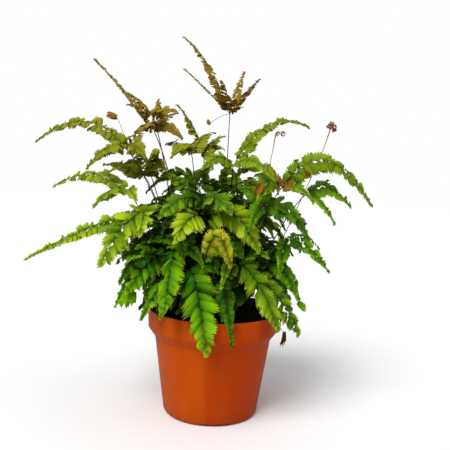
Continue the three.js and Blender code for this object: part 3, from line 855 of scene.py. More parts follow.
def new_group(name, colours, outputs):
    """A node group that takes named colours and puts out what outputs names, each of a kind."""
    tree = bpy.data.node_groups.new(name, "ShaderNodeTree")
    for label in colours:
        socket = tree.interface.new_socket(label, in_out="INPUT", socket_type="NodeSocketColor")
        socket.default_value = (1, 1, 1, 1)
    for label, kind in outputs.items():
        tree.interface.new_socket(label, in_out="OUTPUT", socket_type="NodeSocket" + kind)
    given = tree.nodes.new("NodeGroupInput").outputs
    result = tree.nodes.new("NodeGroupOutput").inputs
    return Net(tree), given, result


# ---------------------------------------------------------------- leaf materials
# Each tone: the light and dark ends of its green, what its edges turn to with age, and what the whole
# leaflet turns to high above the pot. The dark end is also the colour of the painted shade on the
# leaflets.
TONE_COLOURS = ("Light", "Dark", "Edge", "High")
TONES = {
    "lime": ((0.70, 0.80, 0.08), (0.20, 0.42, 0.01), (0.78, 0.82, 0.34), (0.62, 0.63, 0.14)),
    "green": ((0.50, 0.74, 0.03), (0.04, 0.34, 0.0), (0.74, 0.80, 0.16), (0.52, 0.56, 0.12)),
    # The dark tone is the green of fronds in the crown's shade, and its darkness is partly painted shade.
    "dark": ((0.38, 0.62, 0.03), (0.01, 0.14, 0.0), (0.40, 0.56, 0.10), (0.34, 0.46, 0.03)),
    "gold": ((0.58, 0.61, 0.08), (0.32, 0.37, 0.01), (0.66, 0.52, 0.12), (0.54, 0.57, 0.12)),
    "yellow": ((0.74, 0.74, 0.14), (0.30, 0.38, 0.02), (0.80, 0.62, 0.16), (0.70, 0.70, 0.10)),
    "bronze": ((0.64, 0.58, 0.15), (0.40, 0.32, 0.06), (0.66, 0.40, 0.12), (0.60, 0.50, 0.14)),
}


def leaf_group():
    """Leaf colour, veins and painted shade, from the leaflet's own map: across it in X, from stalk to
    teeth in Y.
    """
    outputs = {"Color": "Color", "Roughness": "Float", "Height": "Float"}
    net, given, result = new_group("leaf_skin", TONE_COLOURS, outputs)
    shade = net.attribute("shade")
    age = net.attribute("age")
    across, out, _ = net.axes(net.node("UVMap", uv_map="leaf").outputs[0])
    place = net.place()
    cloudy = net.noise(place, 45.0)
    mottled = net.noise(place, 420.0)

    # Veins fan out from the stalk end to the teeth.
    aside = net.math("SUBTRACT", across, 0.5)
    angle = net.math("ARCTAN2", aside, net.plus(out, 0.12))
    ripple = net.math("ABSOLUTE", net.math("SINE", net.times(angle, 9.0)))
    vein = net.ranged(ripple, 0.0, 0.35, 1.0, 0.0)

    bright = net.plus(net.plus(shade, net.times(cloudy, 0.9)), net.times(mottled, 0.3))
    colour = net.blend(net.ranged(bright, 0.55, 1.55), given["Dark"], given["Light"])
    # Leaves that stand higher are younger and yellower.
    young = net.ranged(net.axes(place)[2], 0.175, 0.25, 0.0, 0.75)
    colour = net.blend(young, colour, given["High"])
    # The colour of the painted shade and of the veins: the tone's dark, moving towards its high colour on
    # high fronds.
    shade_and_vein_colour = net.blend(young, given["Dark"], given["High"])
    # Painted shade: the leaflet is darkened along the rib and where the next one lies over it.
    rib_painted_shade = net.ranged(out, 0.0, 0.6, 0.85, 0.0)
    overlap_painted_shade = net.ranged(across, 0.0, 0.25, 0.8, 0.0)
    colour = net.blend(net.math("MAXIMUM", rib_painted_shade, overlap_painted_shade), colour, shade_and_vein_colour)
    colour = net.blend(net.times(vein, 0.2), colour, shade_and_vein_colour)
    # Age shows in patches along the border, and the oldest leaflets are brown.
    border = net.ranged(net.math("MAXIMUM", out, net.times(aside, 1.9)), 0.55, 1.0)
    worn = net.times(border, net.ranged(age, 0.2, 1.0))
    worn = net.times(worn, net.ranged(mottled, 0.35, 0.6))
    colour = net.blend(worn, colour, given["Edge"])
    scorch = net.times(net.ranged(age, 0.93, 1.0), net.ranged(mottled, 0.35, 0.6, 0.25, 0.9))
    withered = net.blend(net.ranged(shade, 0.25, 0.6), srgb(0.26, 0.13, 0.06), srgb(0.56, 0.33, 0.07))
    colour = net.blend(scorch, colour, withered)
    # The teeth end pale.
    tips = net.times(net.ranged(out, 0.8, 1.0), 0.5)
    colour = net.blend(tips, colour, given["Edge"])
    raised = net.math("SUBTRACT", net.times(mottled, 0.4), vein)
    roughness = net.ranged(mottled, 0.3, 0.7, 0.42, 0.62)
    for label, socket in (("Color", colour), ("Roughness", roughness), ("Height", raised)):
        net.tree.links.new(socket, result[label])
    return net.tree


def leaf_materials():
    group = leaf_group()
    made = {}
    for tone, colours in TONES.items():
        look = Look(f"leaf_{tone}", Subsurface_Weight=0.08, Subsurface_Radius=(0.002, 0.004, 0.0006),
                    Subsurface_Scale=1.0, IOR=1.4, Specular_IOR_Level=0.1)
        skin = look.tree.nodes.new("ShaderNodeGroup")
        skin.node_tree = group
        for label, colour in zip(TONE_COLOURS, colours):
            skin.inputs[label].default_value = srgb(*colour)
        look.wire("Base Color", skin.outputs["Color"])
        look.wire("Roughness", skin.outputs["Roughness"])
        look.bump(skin.outputs["Height"], 0.0001)
        made[tone] = look.material
    return made


def stalk_material():
    """Dark wiry stalk, near black to red brown, and green towards a rib's end."""
    look = Look("dark_stalk", Roughness=0.5, IOR=1.45, Specular_IOR_Level=0.2)
    age = look.attribute("age")
    place = look.place()
    streak = look.noise(place, 300.0)
    brown = look.blend(streak, srgb(0.08, 0.05, 0.03), srgb(0.22, 0.12, 0.06))
    # Ribs turn green towards their ends, and those of the high young fronds soon after the hub.
    height = look.axes(place)[2]
    young = look.times(look.ranged(height, 0.18, 0.2), look.ranged(age, 0.02, 0.3))
    fresh = look.math("MAXIMUM", look.ranged(age, 0.55, 1.0), young)
    look.wire("Base Color", look.blend(fresh, brown, srgb(0.40, 0.44, 0.10)))
    look.bump(streak, 0.00008)
    return look.material


def crozier_material():
    """Brown, finely haired skin of a coiled young frond."""
    look = Look("haired_crozier", Roughness=0.8, Sheen_Weight=0.3)
    hairs = look.noise(look.place(), 1400.0, 3.0)
    look.wire("Base Color", look.blend(hairs, srgb(0.40, 0.17, 0.10), srgb(0.70, 0.42, 0.26)))
    look.bump(hairs, 0.0003)
    return look.material


# ---------------------------------------------------------------- pot and compost materials
def pot_material():
    """Moulded terracotta-coloured plastic: a satin skin with faint flow lines and scuffs, a painted
    reflection on its front and painted shade inside.
    """
    look = Look("moulded_pot", IOR=1.5, Specular_IOR_Level=0.08)
    place = look.place()
    x, y, z = look.axes(place)
    around = look.math("ARCTAN2", x, look.times(y, -1.0))
    flow = look.node("CombineXYZ", {0: around, 1: look.times(z, 3.0), 2: 0.0}).outputs[0]
    streaks = look.noise(flow, 5.0, 3.0)
    dust = look.noise(place, 60.0, 5.0)
    specks = look.noise(place, 900.0)
    colour = look.blend(streaks, srgb(0.80, 0.28, 0.0), srgb(0.88, 0.38, 0.02))
    # Right of a line down the front the plastic is painted a little redder and darker: the edge of a
    # painted reflection that leaves the front's left lighter.
    painted_reflection_edge = look.ranged(around, -0.12, -0.04, 0.0, 0.5)
    colour = look.blend(painted_reflection_edge, colour, srgb(0.83, 0.245, 0.01))
    # A narrow paler tan stripe runs down that edge.
    pale_stripe = look.ranged(look.math("ABSOLUTE", look.plus(around, 0.09)), 0.0, 0.05, 1.0, 0.0)
    colour = look.blend(look.times(pale_stripe, 0.35), colour, srgb(0.76, 0.36, 0.12))
    chalk = look.times(look.ranged(dust, 0.55, 0.8), 0.16)
    colour = look.blend(chalk, colour, srgb(0.72, 0.46, 0.28))
    low = look.ranged(z, 0.0, 0.012, 0.35, 0.0)
    colour = look.blend(look.times(low, dust), colour, srgb(0.36, 0.18, 0.10))
    # Above the compost the inside wall is painted near black brown: painted shade inside the pot.
    flat = look.node("VectorMath", {0: place, 1: (1, 1, 0)}, operation="MULTIPLY").outputs[0]
    radius = look.node("VectorMath", {0: flat}, operation="LENGTH").outputs["Value"]
    painted_inner_shade = look.times(look.ranged(radius, 0.0587, 0.0593, 0.85, 0.0), look.ranged(z, 0.0795, 0.08))
    look.wire("Base Color", look.blend(painted_inner_shade, colour, srgb(0.12, 0.06, 0.04)))
    look.wire("Roughness", look.ranged(dust, 0.3, 0.8, 0.30, 0.48))
    look.bump(look.plus(specks, look.times(streaks, 2.0)), 0.00008)
    return look.material


def compost_material():
    """Near black peaty compost with paler fibres."""
    look = Look("peaty_compost", Roughness=0.95)
    place = look.place()
    shade = look.attribute("shade")
    grain = look.noise(place, 700.0, 6.0)
    damp = look.noise(place, 50.0)
    colour = look.blend(look.ranged(grain, 0.35, 0.7), srgb(0.03, 0.025, 0.02), srgb(0.13, 0.09, 0.07))
    colour = look.blend(look.ranged(shade, 0.7, 1.0), colour, srgb(0.22, 0.15, 0.10))
    colour = look.blend(look.ranged(damp, 0.4, 0.65, 0.0, 0.5), colour, srgb(0.025, 0.02, 0.018))
    look.wire("Base Color", colour)
    look.bump(grain, 0.001)
    return look.material


# ---------------------------------------------------------------- leaflets
def model_leaflet(name, rows, tooth, cup, curl, end, hand):
    """One leaflet, 1 long and 1 wide: a flat grid, each of its rows drawn in and shifted, cupped
    across, curled down towards its end and toothed there. Its tipward side is where hand says."""
    leaf = begin(bpy.ops.mesh.primitive_grid_add, name, x_subdivisions=LEAF_COLUMNS,
                 y_subdivisions=LEAF_ROWS, size=1, location=(0, 0.5, 0))
    out, width, shift = rows[-1]
    rows = rows[:-1] + ((out, width * end, shift),)
    for column in range(LEAF_COLUMNS + 1):
        across = column / LEAF_COLUMNS - 0.5
        pick(leaf, lambda point: abs(point.x - across) < SAME_PLACE)
        bpy.ops.transform.translate(value=(0, 0, -cup * (2 * across) ** 2))
    for row, (out, width, shift) in reversed(list(enumerate(rows))):
        start = row / LEAF_ROWS
        pick(leaf, lambda point: abs(point.y - start) < SAME_PLACE)
        bpy.ops.transform.resize(value=(width, 1, 1), center_override=(0, start, 0))
        bpy.ops.transform.translate(value=(shift * hand, out - start, -curl * out ** 2))
    out, width, shift = rows[-1]
    for column, stands in enumerate(TEETH):
        across = ((column / LEAF_COLUMNS - 0.5) * width + shift) * hand
        pick(leaf, lambda point: abs(point.x - across) < SAME_PLACE and point.y > out - TOOTH_ROOM)
        bpy.ops.transform.translate(value=(0, stands * tooth, 0))
    out, width, shift = rows[-2]
    corner = (width / 2 + shift) * hand
    pick(leaf, lambda point: max(abs(point.x - corner), abs(point.y - out)) < SAME_PLACE)
    bpy.ops.transform.translate(value=(SIDE_TOOTH * tooth * hand, SIDE_TOOTH * tooth, 0))
    bpy.ops.object.mode_set(mode="OBJECT")
    apply_modifier(leaf, "SOLIDIFY", thickness=LEAF_THICKNESS, offset=0)
    return leaf


class Master:
    """A modelled shape that is copied many times: its mesh as plain arrays."""

    def __init__(self, piece, hand=1):
        mesh = piece.data
        self.points = np.empty(len(mesh.vertices) * 3)
        mesh.vertices.foreach_get("co", self.points)
        self.points = self.points.reshape(-1, 3)
        self.corners = np.empty(len(mesh.loops), int)
        mesh.loops.foreach_get("vertex_index", self.corners)
        self.sizes = np.empty(len(mesh.polygons), int)
        mesh.polygons.foreach_get("loop_total", self.sizes)
        self.chart = np.empty(len(mesh.loops) * 2)
        mesh.uv_layers.active.data.foreach_get("uv", self.chart)
        if hand < 0:
            self.chart[0::2] = 1 - self.chart[0::2]
        bpy.data.objects.remove(piece)


def leaflet_masters():
    """All kinds of leaflet, by family, and for the right and for the left of a rib."""
    masters = {}
    for family, style in FAMILIES.items():
        masters[family] = {}
        for side in (1, -1):
            masters[family][side] = [
                Master(model_leaflet(f"{family}_leaflet", style["rows"], *kind, side), side)
                for kind in LEAFLET_KINDS]
    return masters


def planted(name, cuttings):
    """One mesh of copies. A cutting is a master, its axes and place, its shade and its age."""
    points, corners, sizes, charts, shades, ages = [], [], [], [], [], []
    count = 0
    for master, axes, place, shade, age in cuttings:
        points.append(master.points @ axes + place)
        corners.append(master.corners + count)
        sizes.append(master.sizes)
        charts.append(master.chart)
        shades.append(np.full(len(master.points), shade))
        ages.append(np.full(len(master.points), age))
        count += len(master.points)
    mesh = bpy.data.meshes.new(name)
    sizes = np.concatenate(sizes)
    mesh.vertices.add(count)
    mesh.vertices.foreach_set("co", np.concatenate(points).ravel() * MM)
    mesh.loops.add(sizes.sum())
    mesh.loops.foreach_set("vertex_index", np.concatenate(corners))
    mesh.polygons.add(len(sizes))
    mesh.polygons.foreach_set("loop_start", np.concatenate([[0], np.cumsum(sizes)[:-1]]))
    mesh.uv_layers.new(name="leaf").data.foreach_set("uv", np.concatenate(charts))
    for label, values in (("shade", shades), ("age", ages)):
        mesh.attributes.new(label, "FLOAT", "POINT").data.foreach_set("value", np.concatenate(values))
    mesh.update(calc_edges=True)
    mesh.validate()
    return placed(name, mesh)


def plant_piece(name, cuttings, look, slot, *nodes):
    """A finished piece of planted copies."""
    piece = planted(name, cuttings)
    smooth(piece, CREASE)
    finish_piece(piece, look, slot, *nodes)


def leaflet_axes(tangent, normal, outward, lean, droop, twist, length, width):
    """The rows that carry a unit leaflet's X, Y and Z to its place on the rib."""
    out = outward * math.cos(droop) - normal * math.sin(droop)
    face = normal * math.cos(droop) + outward * math.sin(droop)
    along = out * math.cos(lean) + tangent * math.sin(lean)
    across = np.cross(along, face)
    turned_across = across * math.cos(twist) - face * math.sin(twist)
    turned_face = face * math.cos(twist) + across * math.sin(twist)
    return np.array([turned_across * width, along * length, turned_face * length])


def pinna_leaflets(pinna, masters, draw, tone_and_light=0, scorched=0, crowding=1):
    """The leaflets of one pinna, alternating down both sides of its rib and closer together as
    they get shorter, and one at its end. Those up to a scorched distance have browned."""
    family = FAMILIES[pinna.family]
    kinds = masters[pinna.family]
    first_pitch, pitch_gain = family["pitch"]
    fill = crowding * family["fill"]
    tone_and_light += draw.uniform(*PINNA_TINTS)
    cuttings = []
    distance = FIRST_LEAFLET
    side = 1
    while True:
        pitch = first_pitch + pitch_gain * pinna.leaf_reach(distance)
        distance += pitch / 2
        side = -side
        reach = pinna.leaf_reach(min(distance + pitch * READ_AHEAD, pinna.length * LAST_READ))
        if distance > pinna.length - pitch * TIP_ROOM:
            break
        share = distance / pinna.length
        point, tangent, normal, aside = pinna.frame(distance - pitch * ROOT_BACK)
        lean = family["lean"] + math.radians(draw.gauss(0, LEAN_SPREAD)) + share * TIP_LEAN
        length = max(reach, pitch * SHORTEST_LEAFLET) / math.cos(lean * LEAN_LENGTH)
        length *= draw.uniform(*LENGTH_RANGE)
        width = pitch * fill * draw.uniform(*WIDTH_RANGE)
        droop = LEAFLET_DROOP + math.radians(draw.gauss(0, DROOP_SPREAD))
        twist = side * (SHINGLE + math.radians(draw.gauss(0, TWIST_SPREAD)))
        axes = leaflet_axes(tangent, normal, aside * side, lean, droop, twist, length, width)
        shade = MIDDLE_SHADE + tone_and_light + SHADE_GAIN * (share - MIDDLE_SHARE) + draw.gauss(0, SHADE_SPREAD)
        shade = min(1, max(DARKEST, shade))
        age = min(OLDEST_GREEN, max(0, share * AGE_GAIN + draw.gauss(0, AGE_SPREAD)))
        if distance < scorched:
            age = BROWNED
        cuttings.append((draw.choice(kinds[side]), axes, point, shade, age))
    point, tangent, normal, aside = pinna.frame(pinna.length * END_PLACE)
    size = max(END_LENGTH, pitch * END_PITCHES)
    axes = leaflet_axes(aside, normal, tangent, 0, END_DROOP, 0, size, size * END_WIDTH)
    root = point - tangent * size * END_BACK
    cuttings.append((draw.choice(kinds[1]), axes, root, END_SHADE + tone_and_light, END_AGE))
    return cuttings


# ---------------------------------------------------------------- stalks and ribs
def wires(name, paths):
    """Round wires as one mesh. A path is its points, their radii and their ages."""
    curve = bpy.data.curves.new(name, "CURVE")
    curve.dimensions = "3D"
    curve.bevel_depth = MM
    curve.bevel_resolution = (WIRE_SIDES - 4) // 2
    curve.use_fill_caps = True
    for points, radii, _ in paths:
        spline = curve.splines.new("POLY")
        spline.points.add(len(points) - 1)
        spline.points.foreach_set("co", np.column_stack([points * MM, np.ones(len(points))]).ravel())
        spline.points.foreach_set("radius", radii)
    choose(placed(name, curve))
    bpy.ops.object.convert(target="MESH")
    piece = bpy.context.object
    bpy.ops.object.mode_set(mode="EDIT")
    bpy.ops.mesh.select_all(action="SELECT")
    bpy.ops.mesh.remove_doubles(threshold=WELD * MM)
    bpy.ops.object.mode_set(mode="OBJECT")
    # Each point of the mesh takes the age of the nearest point of its path.
    centres = np.concatenate([points for points, _, _ in paths])
    ages = np.concatenate([age for _, _, age in paths])
    skin = np.empty(len(piece.data.vertices) * 3)
    piece.data.vertices.foreach_get("co", skin)
    gaps = np.linalg.norm(skin.reshape(-1, 1, 3) / MM - centres, axis=2)
    skin_ages = ages[gaps.argmin(axis=1)]
    piece.data.attributes.new("age", "FLOAT", "POINT").data.foreach_set("value", skin_ages)
    bpy.ops.object.shade_smooth()
    return piece


def rib_path(pinna):
    distance = np.linspace(0, pinna.length * RIB_END, RIB_STEPS)
    point, _, normal, _ = pinna.frames(distance)
    share = distance / pinna.length
    radii = RIB_RADIUS + (RIB_END_RADIUS - RIB_RADIUS) * share
    return point + normal * RIB_LIFT, radii, share


def stalk_path(leafy):
    share = np.linspace(0, 1, STIPE_STEPS)
    points = cubic(leafy["stalk"], share)
    points = np.vstack([points, leafy["hub"]])
    radii = STIPE_RADIUS + (STIPE_END_RADIUS - STIPE_RADIUS) * np.append(share, 1)
    return points, radii, np.zeros(len(points))


def make_frond(number, leafy, masters, looks, *nodes):
    """A frond's leaflets and ribs. They stand for the solid blade and stalk, where it has them."""
    draw = random.Random(SEED + number)
    name, tone = leafy["name"], leafy["tone"]
    # The frond's offset of tone, partly painted light and shade.
    tone_and_light = TONE_AND_PAINTED_LIGHT.get(name.rstrip("_0123456789"), 0)
    cuttings = []
    for i, pinna in enumerate(leafy["laid"]):
        pinna.half_width *= SHORTENED.get((name, i), 1)
        cuttings += pinna_leaflets(pinna, masters, draw, tone_and_light, SCORCHED.get(name, 0))
    plant_piece(f"{name}_leaflets", cuttings, looks[tone], f"leaf_{tone}", *nodes[:1])
    paths = [stalk_path(leafy)] + [rib_path(pinna) for pinna in leafy["laid"]]
    finish_piece(wires(f"{name}_ribs", paths), looks["stalk"], "stalk", *nodes[1:])


def make_curled(hubs, masters, looks):
    """The yellow end of a pinna that has curled over, in front of the crown."""
    draw = random.Random(SEED)
    hub = np.array(CURLED_HUB, float)
    tip = np.array(CURLED_TIP, float)
    pinna = Pinna(hub, tip, CURLED_ARCH, CURLED_HALF_WIDTH, CURLED_FACING)
    pinna.family = "broad"
    cuttings = pinna_leaflets(pinna, masters, draw, TONE_AND_PAINTED_LIGHT["curled"], crowding=CURLED_CROWDING)
    plant_piece("curled_leaflets", cuttings, looks["yellow"], "leaf_gold")
    share = np.linspace(0, 1, RIB_STEPS)
    link = cubic(stalk_points(hubs["front_bright"], hub, UP_FIRST), share)
    paths = [(link, np.full(RIB_STEPS, RIB_RADIUS), share), rib_path(pinna)]
    finish_piece(wires("curled_ribs", paths), looks["stalk"], "stalk")


def make_loose(hubs, masters, looks):
    """Single leaflets, most of them browned, each on a thin stalk from a frond's hub."""
    draw = random.Random(SEED + 1)
    share = np.linspace(0, 1, RIB_STEPS)
    towards = np.array(LOOSE_FACING)
    paths, brown, green = [], [], []
    for name, place, way, length, width, age in LOOSE_LEAFLETS:
        end = np.array(place, float)
        start = hubs[name]
        middle = (start + end) / 2 + UP * np.linalg.norm(end - start) * LOOSE_STALK_RISE
        paths.append((quadratic(start, middle, end, share), np.full(RIB_STEPS, RIB_END_RADIUS * 2), share))
        out = unit(np.array(way, float))
        face = unit(towards - out * (towards @ out))
        group = brown if age == BROWNED else green
        for twist in (-LOOSE_TWIST, LOOSE_TWIST):
            axes = leaflet_axes(np.cross(face, out), face, out, 0, 0, twist, length, width)
            kind = draw.choice(masters["broad"][1])
            group.append((kind, axes, end - out * LOOSE_ROOT, width / length, age))
    plant_piece("withered_leaflets", brown, looks["bronze"], "leaf_bronze")
    plant_piece("single_leaflets", green, looks["green"], "leaf_green")
    finish_piece(wires("single_stalks", paths), looks["stalk"], "stalk")


def curled_tip(start, lean, angle, stalk, coil):
    """A curled tip's points: out of the head along its stalk, then round its closing coil."""
    heading = math.radians(angle)
    out = lean * math.sin(heading) + UP * math.cos(heading)
    inward = lean * math.cos(heading) - UP * math.sin(heading)
    straight = [start + out * stalk * share for share in np.linspace(0, 1, HEAD_STALK_STEPS)]
    centre = straight[-1] + inward * coil
    turns = []
    for share in np.linspace(0, 1, HEAD_STEPS)[1:]:
        turn = share * HEAD_TURNS * 2 * math.pi
        radius = coil * (1 - HEAD_CLOSING * share)
        turns.append(centre - inward * radius * math.cos(turn) + out * radius * math.sin(turn))
    return np.array(straight + turns), centre


def bud(point, tangent, out, side, masters, draw):
    """One tiny folded leaflet on a coil."""
    length = BUD_LENGTH * draw.uniform(*BUD_LENGTHS)
    outward = unit(np.cross(out, tangent) * side + out * draw.uniform(*BUD_OPENING))
    face = unit(np.cross(tangent, outward))
    axes = leaflet_axes(tangent, face, outward, BUD_LEAN, draw.uniform(*BUD_DROOPS),
                        draw.uniform(*BUD_TWISTS), length, length * BUD_WIDTH)
    return draw.choice(masters["fan"][side]), axes, point, draw.random(), BROWNED


def make_crozier(number, name, top, curve, masters, look):
    """A young frond: its stem, and a head of curled tips set with tiny folded leaflets."""
    draw = random.Random(SEED * 2 + number)
    top = np.array(top, float)
    lean = unit(top * (1, 1, 0))
    share = np.linspace(0, 1, STIPE_STEPS * 2)
    paths = [(cubic(curve, share), np.interp(share, *STEM_RADII), share)]
    buds = []
    for angle, stalk, coil in HEADS[name]:
        points, centre = curled_tip(top, lean, angle, stalk, coil)
        along = np.linspace(0, 1, len(points))
        paths.append((points, np.interp(along, *HEAD_RADII), along))
        for i in range(BUD_START[name], len(points) - 2, BUD_STEP):
            tangent = unit(points[i + 1] - points[i - 1])
            out = unit(points[i] - centre)
            for side in (1, -1):
                buds.append(bud(points[i], tangent, out, side, masters, draw))
    finish_piece(wires(f"{name}_coil", paths), look, "crozier", name)
    plant_piece(f"{name}_buds", buds, look, "crozier")


# ---------------------------------------------------------------- pot
def wall_radius(height):
    return BASE_RADIUS + (COLLAR_BOTTOM_RADIUS - BASE_RADIUS) * height / COLLAR_BOTTOM


def pot_profile():
    """The pot's outline as radii and heights: up its outside, over the rim and down its inside."""
    base = []
    for step in range(BASE_ROUND_STEPS):
        turn = step * math.pi / 2 / BASE_ROUND_STEPS
        inset = BASE_ROUND * (1 - math.sin(turn))
        base.append((BASE_RADIUS - inset, BASE_ROUND * (1 - math.cos(turn))))
    return base + [
        (wall_radius(BASE_ROUND), BASE_ROUND),
        (COLLAR_BOTTOM_RADIUS, COLLAR_BOTTOM),
        (BAND_BOTTOM_RADIUS, BAND_BOTTOM),
        (RIM_RADIUS, POT_HEIGHT - RIM_EDGE),
        (RIM_RADIUS - RIM_EDGE, POT_HEIGHT),
        (RIM_RADIUS - WALL + RIM_EDGE, POT_HEIGHT),
        (RIM_RADIUS - WALL, POT_HEIGHT - RIM_EDGE),
        (BAND_BOTTOM_RADIUS - WALL, BAND_BOTTOM + WALL / 2),
        (COLLAR_BOTTOM_RADIUS - WALL, COLLAR_BOTTOM + WALL / 2),
        (wall_radius(POT_FLOOR) - WALL, POT_FLOOR),
    ]


def cut(piece, tool):
    """Cuts a tool's shape out of a piece, and removes the tool."""
    apply_modifier(piece, "BOOLEAN", object=tool, operation="DIFFERENCE", solver="EXACT")
    bpy.data.objects.remove(tool)


def make_pot():
    """The moulded pot, with its drain channels and holes cut out of its floor."""
    pot = turned("nursery_pot", pot_profile(), POT_SIDES)
    for i in range(CHANNELS):
        angle = i * 2 * math.pi / CHANNELS + CHANNEL_TURN
        middle = (CHANNEL_START + BASE_RADIUS / 2) * MM
        channel = begin(bpy.ops.mesh.primitive_cube_add, "channel_cutter", size=1,
                        location=tuple(polar(middle, angle)), rotation=(0, 0, angle),
                        scale=(BASE_RADIUS * MM, CHANNEL_WIDTH * MM, CHANNEL_HEIGHT * 2 * MM))
        cut(pot, channel)
    for i in range(DRAIN_HOLES):
        angle = i * 2 * math.pi / DRAIN_HOLES + CHANNEL_TURN
        hole = begin(bpy.ops.mesh.primitive_cylinder_add, "hole_cutter", vertices=DRAIN_SIDES,
                     radius=DRAIN_RADIUS * MM, depth=POT_FLOOR * 4 * MM,
                     location=tuple(polar(DRAIN_CIRCLE * MM, angle)))
        cut(pot, hole)
    apply_modifier(pot, "BEVEL", width=POT_EDGE * MM, segments=2, limit_method="ANGLE",
                   angle_limit=math.radians(POT_EDGE_ANGLE))
    smooth(pot, POT_CREASE)
    finish_piece(pot, pot_material(), "pot_plastic", "pot")


# ---------------------------------------------------------------- compost
SOIL_RINGS = 24
SOIL_SIDES = 120
SOIL_CREASE = 50
LUMP_SIZE = 5
LUMP_HEIGHT = 5
LUMP_DETAIL = 3
LUMP_LEVEL = 0.55
LUMPS_WITHIN = 0.985
CRUMBS = 700
CRUMB_RADIUS = (0.5, 2.0)
CRUMB_SIZES = (0.5, 1)
CRUMB_WIDTHS = (0.5, 1)
CRUMB_HEIGHTS = (0.5, 0.9)
CRUMB_TURNS = (0, 6)
CRUMB_SUNK = 0.2
CRUMB_MARGIN = 1.5


def soil_height(radius):
    """The height of the compost's smooth surface at a distance from the pot's axis."""
    rim = BAND_BOTTOM_RADIUS - WALL - SOIL_GAP
    return float(np.interp(radius, [0, CROWN_RADIUS, rim], [SOIL_CENTRE, SOIL_SHOULDER, SOIL_EDGE]))


def crumb_cuttings(widest):
    """Crumbs of all sizes, turned and stretched, lying on the compost up to a radius."""
    grain = begin(bpy.ops.mesh.primitive_ico_sphere_add, "crumb", subdivisions=1, radius=1,
                  calc_uvs=True)
    bpy.ops.object.mode_set(mode="OBJECT")
    crumb = Master(grain)
    draw = random.Random(SEED)
    cuttings = []
    for _ in range(CRUMBS):
        radius = widest * math.sqrt(draw.random())
        angle = draw.uniform(0, 2 * math.pi)
        size = draw.uniform(*CRUMB_RADIUS) * draw.uniform(*CRUMB_SIZES)
        turn = draw.uniform(*CRUMB_TURNS)
        turn = np.array(Matrix.Rotation(turn, 3, Vector((draw.random(), draw.random(), 1))))
        stretch = np.diag([size, size * draw.uniform(*CRUMB_WIDTHS), size * draw.uniform(*CRUMB_HEIGHTS)])
        place = polar(radius, angle, soil_height(radius) - CRUMB_SUNK)
        cuttings.append((crumb, stretch @ turn, place, draw.random(), 0))
    return cuttings


def make_compost():
    """The compost's body with a lumpy top, and crumbs on it."""
    clear = WALL + SOIL_GAP
    edge = BAND_BOTTOM_RADIUS - clear
    profile = [
        (wall_radius(POT_FLOOR) - clear, POT_FLOOR + SOIL_GAP),
        (COLLAR_BOTTOM_RADIUS - clear, COLLAR_BOTTOM + WALL),
        (edge, BAND_BOTTOM + WALL),
    ]
    for i in range(SOIL_RINGS):
        radius = edge * (1 - i / SOIL_RINGS)
        profile.append((radius, soil_height(radius)))
    body = turned("compost_body", profile, SOIL_SIDES)
    lumps = bpy.data.textures.new("compost_lumps", "CLOUDS")
    lumps.noise_scale = LUMP_SIZE * MM
    lumps.noise_depth = LUMP_DETAIL
    inner = edge * MM * LUMPS_WITHIN
    top = [v.index for v in body.data.vertices if v.co.z > SOIL_EDGE * MM and v.co.xy.length < inner]
    body.vertex_groups.new(name="top").add(top, 1, "REPLACE")
    apply_modifier(body, "DISPLACE", texture=lumps, texture_coords="LOCAL", direction="Z",
                   strength=LUMP_HEIGHT * MM, mid_level=LUMP_LEVEL, vertex_group="top")
    body.data.attributes.new("shade", "FLOAT", "POINT")
    crumbs = planted("compost", crumb_cuttings(edge - CRUMB_MARGIN))
    choose(crumbs)
    body.select_set(True)
    bpy.ops.object.join()
    smooth(crumbs, SOIL_CREASE)
    finish_piece(crumbs, compost_material(), "compost", "soil")


# ---------------------------------------------------------------- stage
FLOOR_SIZE = 8
# The floor and the sky look white, and give back less light than that to the plant.
FLOOR_BOUNCE = 0.70
FLOOR_SEEN = 0.97
SKY_FILL = 0.22
SKY_SEEN = 1.0
# Each lamp: name, the side that it shines from, the angle it spreads over and its strength.
LAMPS = [
    ("key_lamp", (-0.8, -1.4, 1.9), 34, 2.8),
    ("side_lamp", (1.4, -0.6, 1.2), 50, 0.35),
    ("top_lamp", (0.1, 0.4, 1.8), 60, 0.6),
]


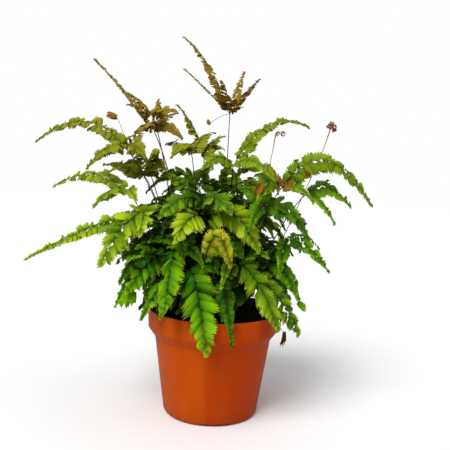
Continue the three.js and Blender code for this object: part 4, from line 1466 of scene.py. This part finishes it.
def make_stage():
    """A plain pale floor with soft studio light."""
    deselect()
    bpy.ops.mesh.primitive_plane_add(size=FLOOR_SIZE, location=(0, 0, 0))
    floor = bpy.context.object
    floor.name = "pale_floor"
    look = Look("pale_paper", Roughness=0.9)
    seen = look.node("LightPath").outputs["Is Camera Ray"]
    look.wire("Base Color", look.blend(seen, srgb(*[FLOOR_BOUNCE] * 3), srgb(*[FLOOR_SEEN] * 3)))
    floor.data.materials.append(look.material)
    world = bpy.data.worlds.new("studio")
    bpy.context.scene.world = world
    world.use_nodes = True
    sky = Net(world.node_tree)
    background = sky.tree.nodes["Background"]
    background.inputs["Color"].default_value = (1, 1, 1, 1)
    seen = sky.node("LightPath").outputs["Is Camera Ray"]
    strength = sky.ranged(seen, 0.0, 1.0, SKY_FILL, SKY_SEEN)
    sky.tree.links.new(strength, background.inputs["Strength"])
    for name, side, spread, strength in LAMPS:
        light = bpy.data.lights.new(name, "SUN")
        light.angle = math.radians(spread)
        light.energy = strength
        lamp = placed(name, light)
        lamp.location = side
        lamp.rotation_euler = (-Vector(side)).to_track_quat("-Z", "Y").to_euler()
    bpy.context.scene.view_settings.view_transform = "Standard"


def make_camera():
    """The camera at the photograph's viewing angle: pitched down a little, and rolled."""
    lens = bpy.data.cameras.new("photo_camera")
    lens.sensor_width = SENSOR_WIDTH
    lens.lens = FOCAL_PIXELS / PHOTO_SIZE * SENSOR_WIDTH
    camera = placed("photo_camera", lens)
    ahead = Vector((0, math.cos(CAMERA_PITCH), -math.sin(CAMERA_PITCH)))
    place = (Vector(CAMERA_AIM) - ahead * CAMERA_DISTANCE) * MM
    level = Matrix.Rotation(math.pi / 2 - CAMERA_PITCH, 4, "X")
    camera.matrix_world = Matrix.Translation(place) @ level @ Matrix.Rotation(CAMERA_ROLL, 4, "Z")
    bpy.context.scene.camera = camera


# ---------------------------------------------------------------- the whole object
def build():
    make_camera()
    make_stage()
    make_pot()
    make_compost()
    masters = leaflet_masters()
    looks = leaf_materials()
    looks["stalk"] = stalk_material()
    fronds, croziers, inner = lay_fern()
    for number, leafy in enumerate(fronds):
        name = leafy["name"]
        make_frond(number, leafy, masters, looks, f"{name}_blade", f"{name}_stalk")
    for number, leafy in enumerate(inner, len(fronds)):
        make_frond(number, leafy, masters, looks)
    hubs = {leafy["name"]: leafy["hub"] for leafy in fronds}
    make_curled(hubs, masters, looks)
    make_loose(hubs, masters, looks)
    crozier_look = crozier_material()
    for number, (name, top, _) in enumerate(CROZIERS):
        make_crozier(number, name, top, croziers[name], masters, crozier_look)


build()
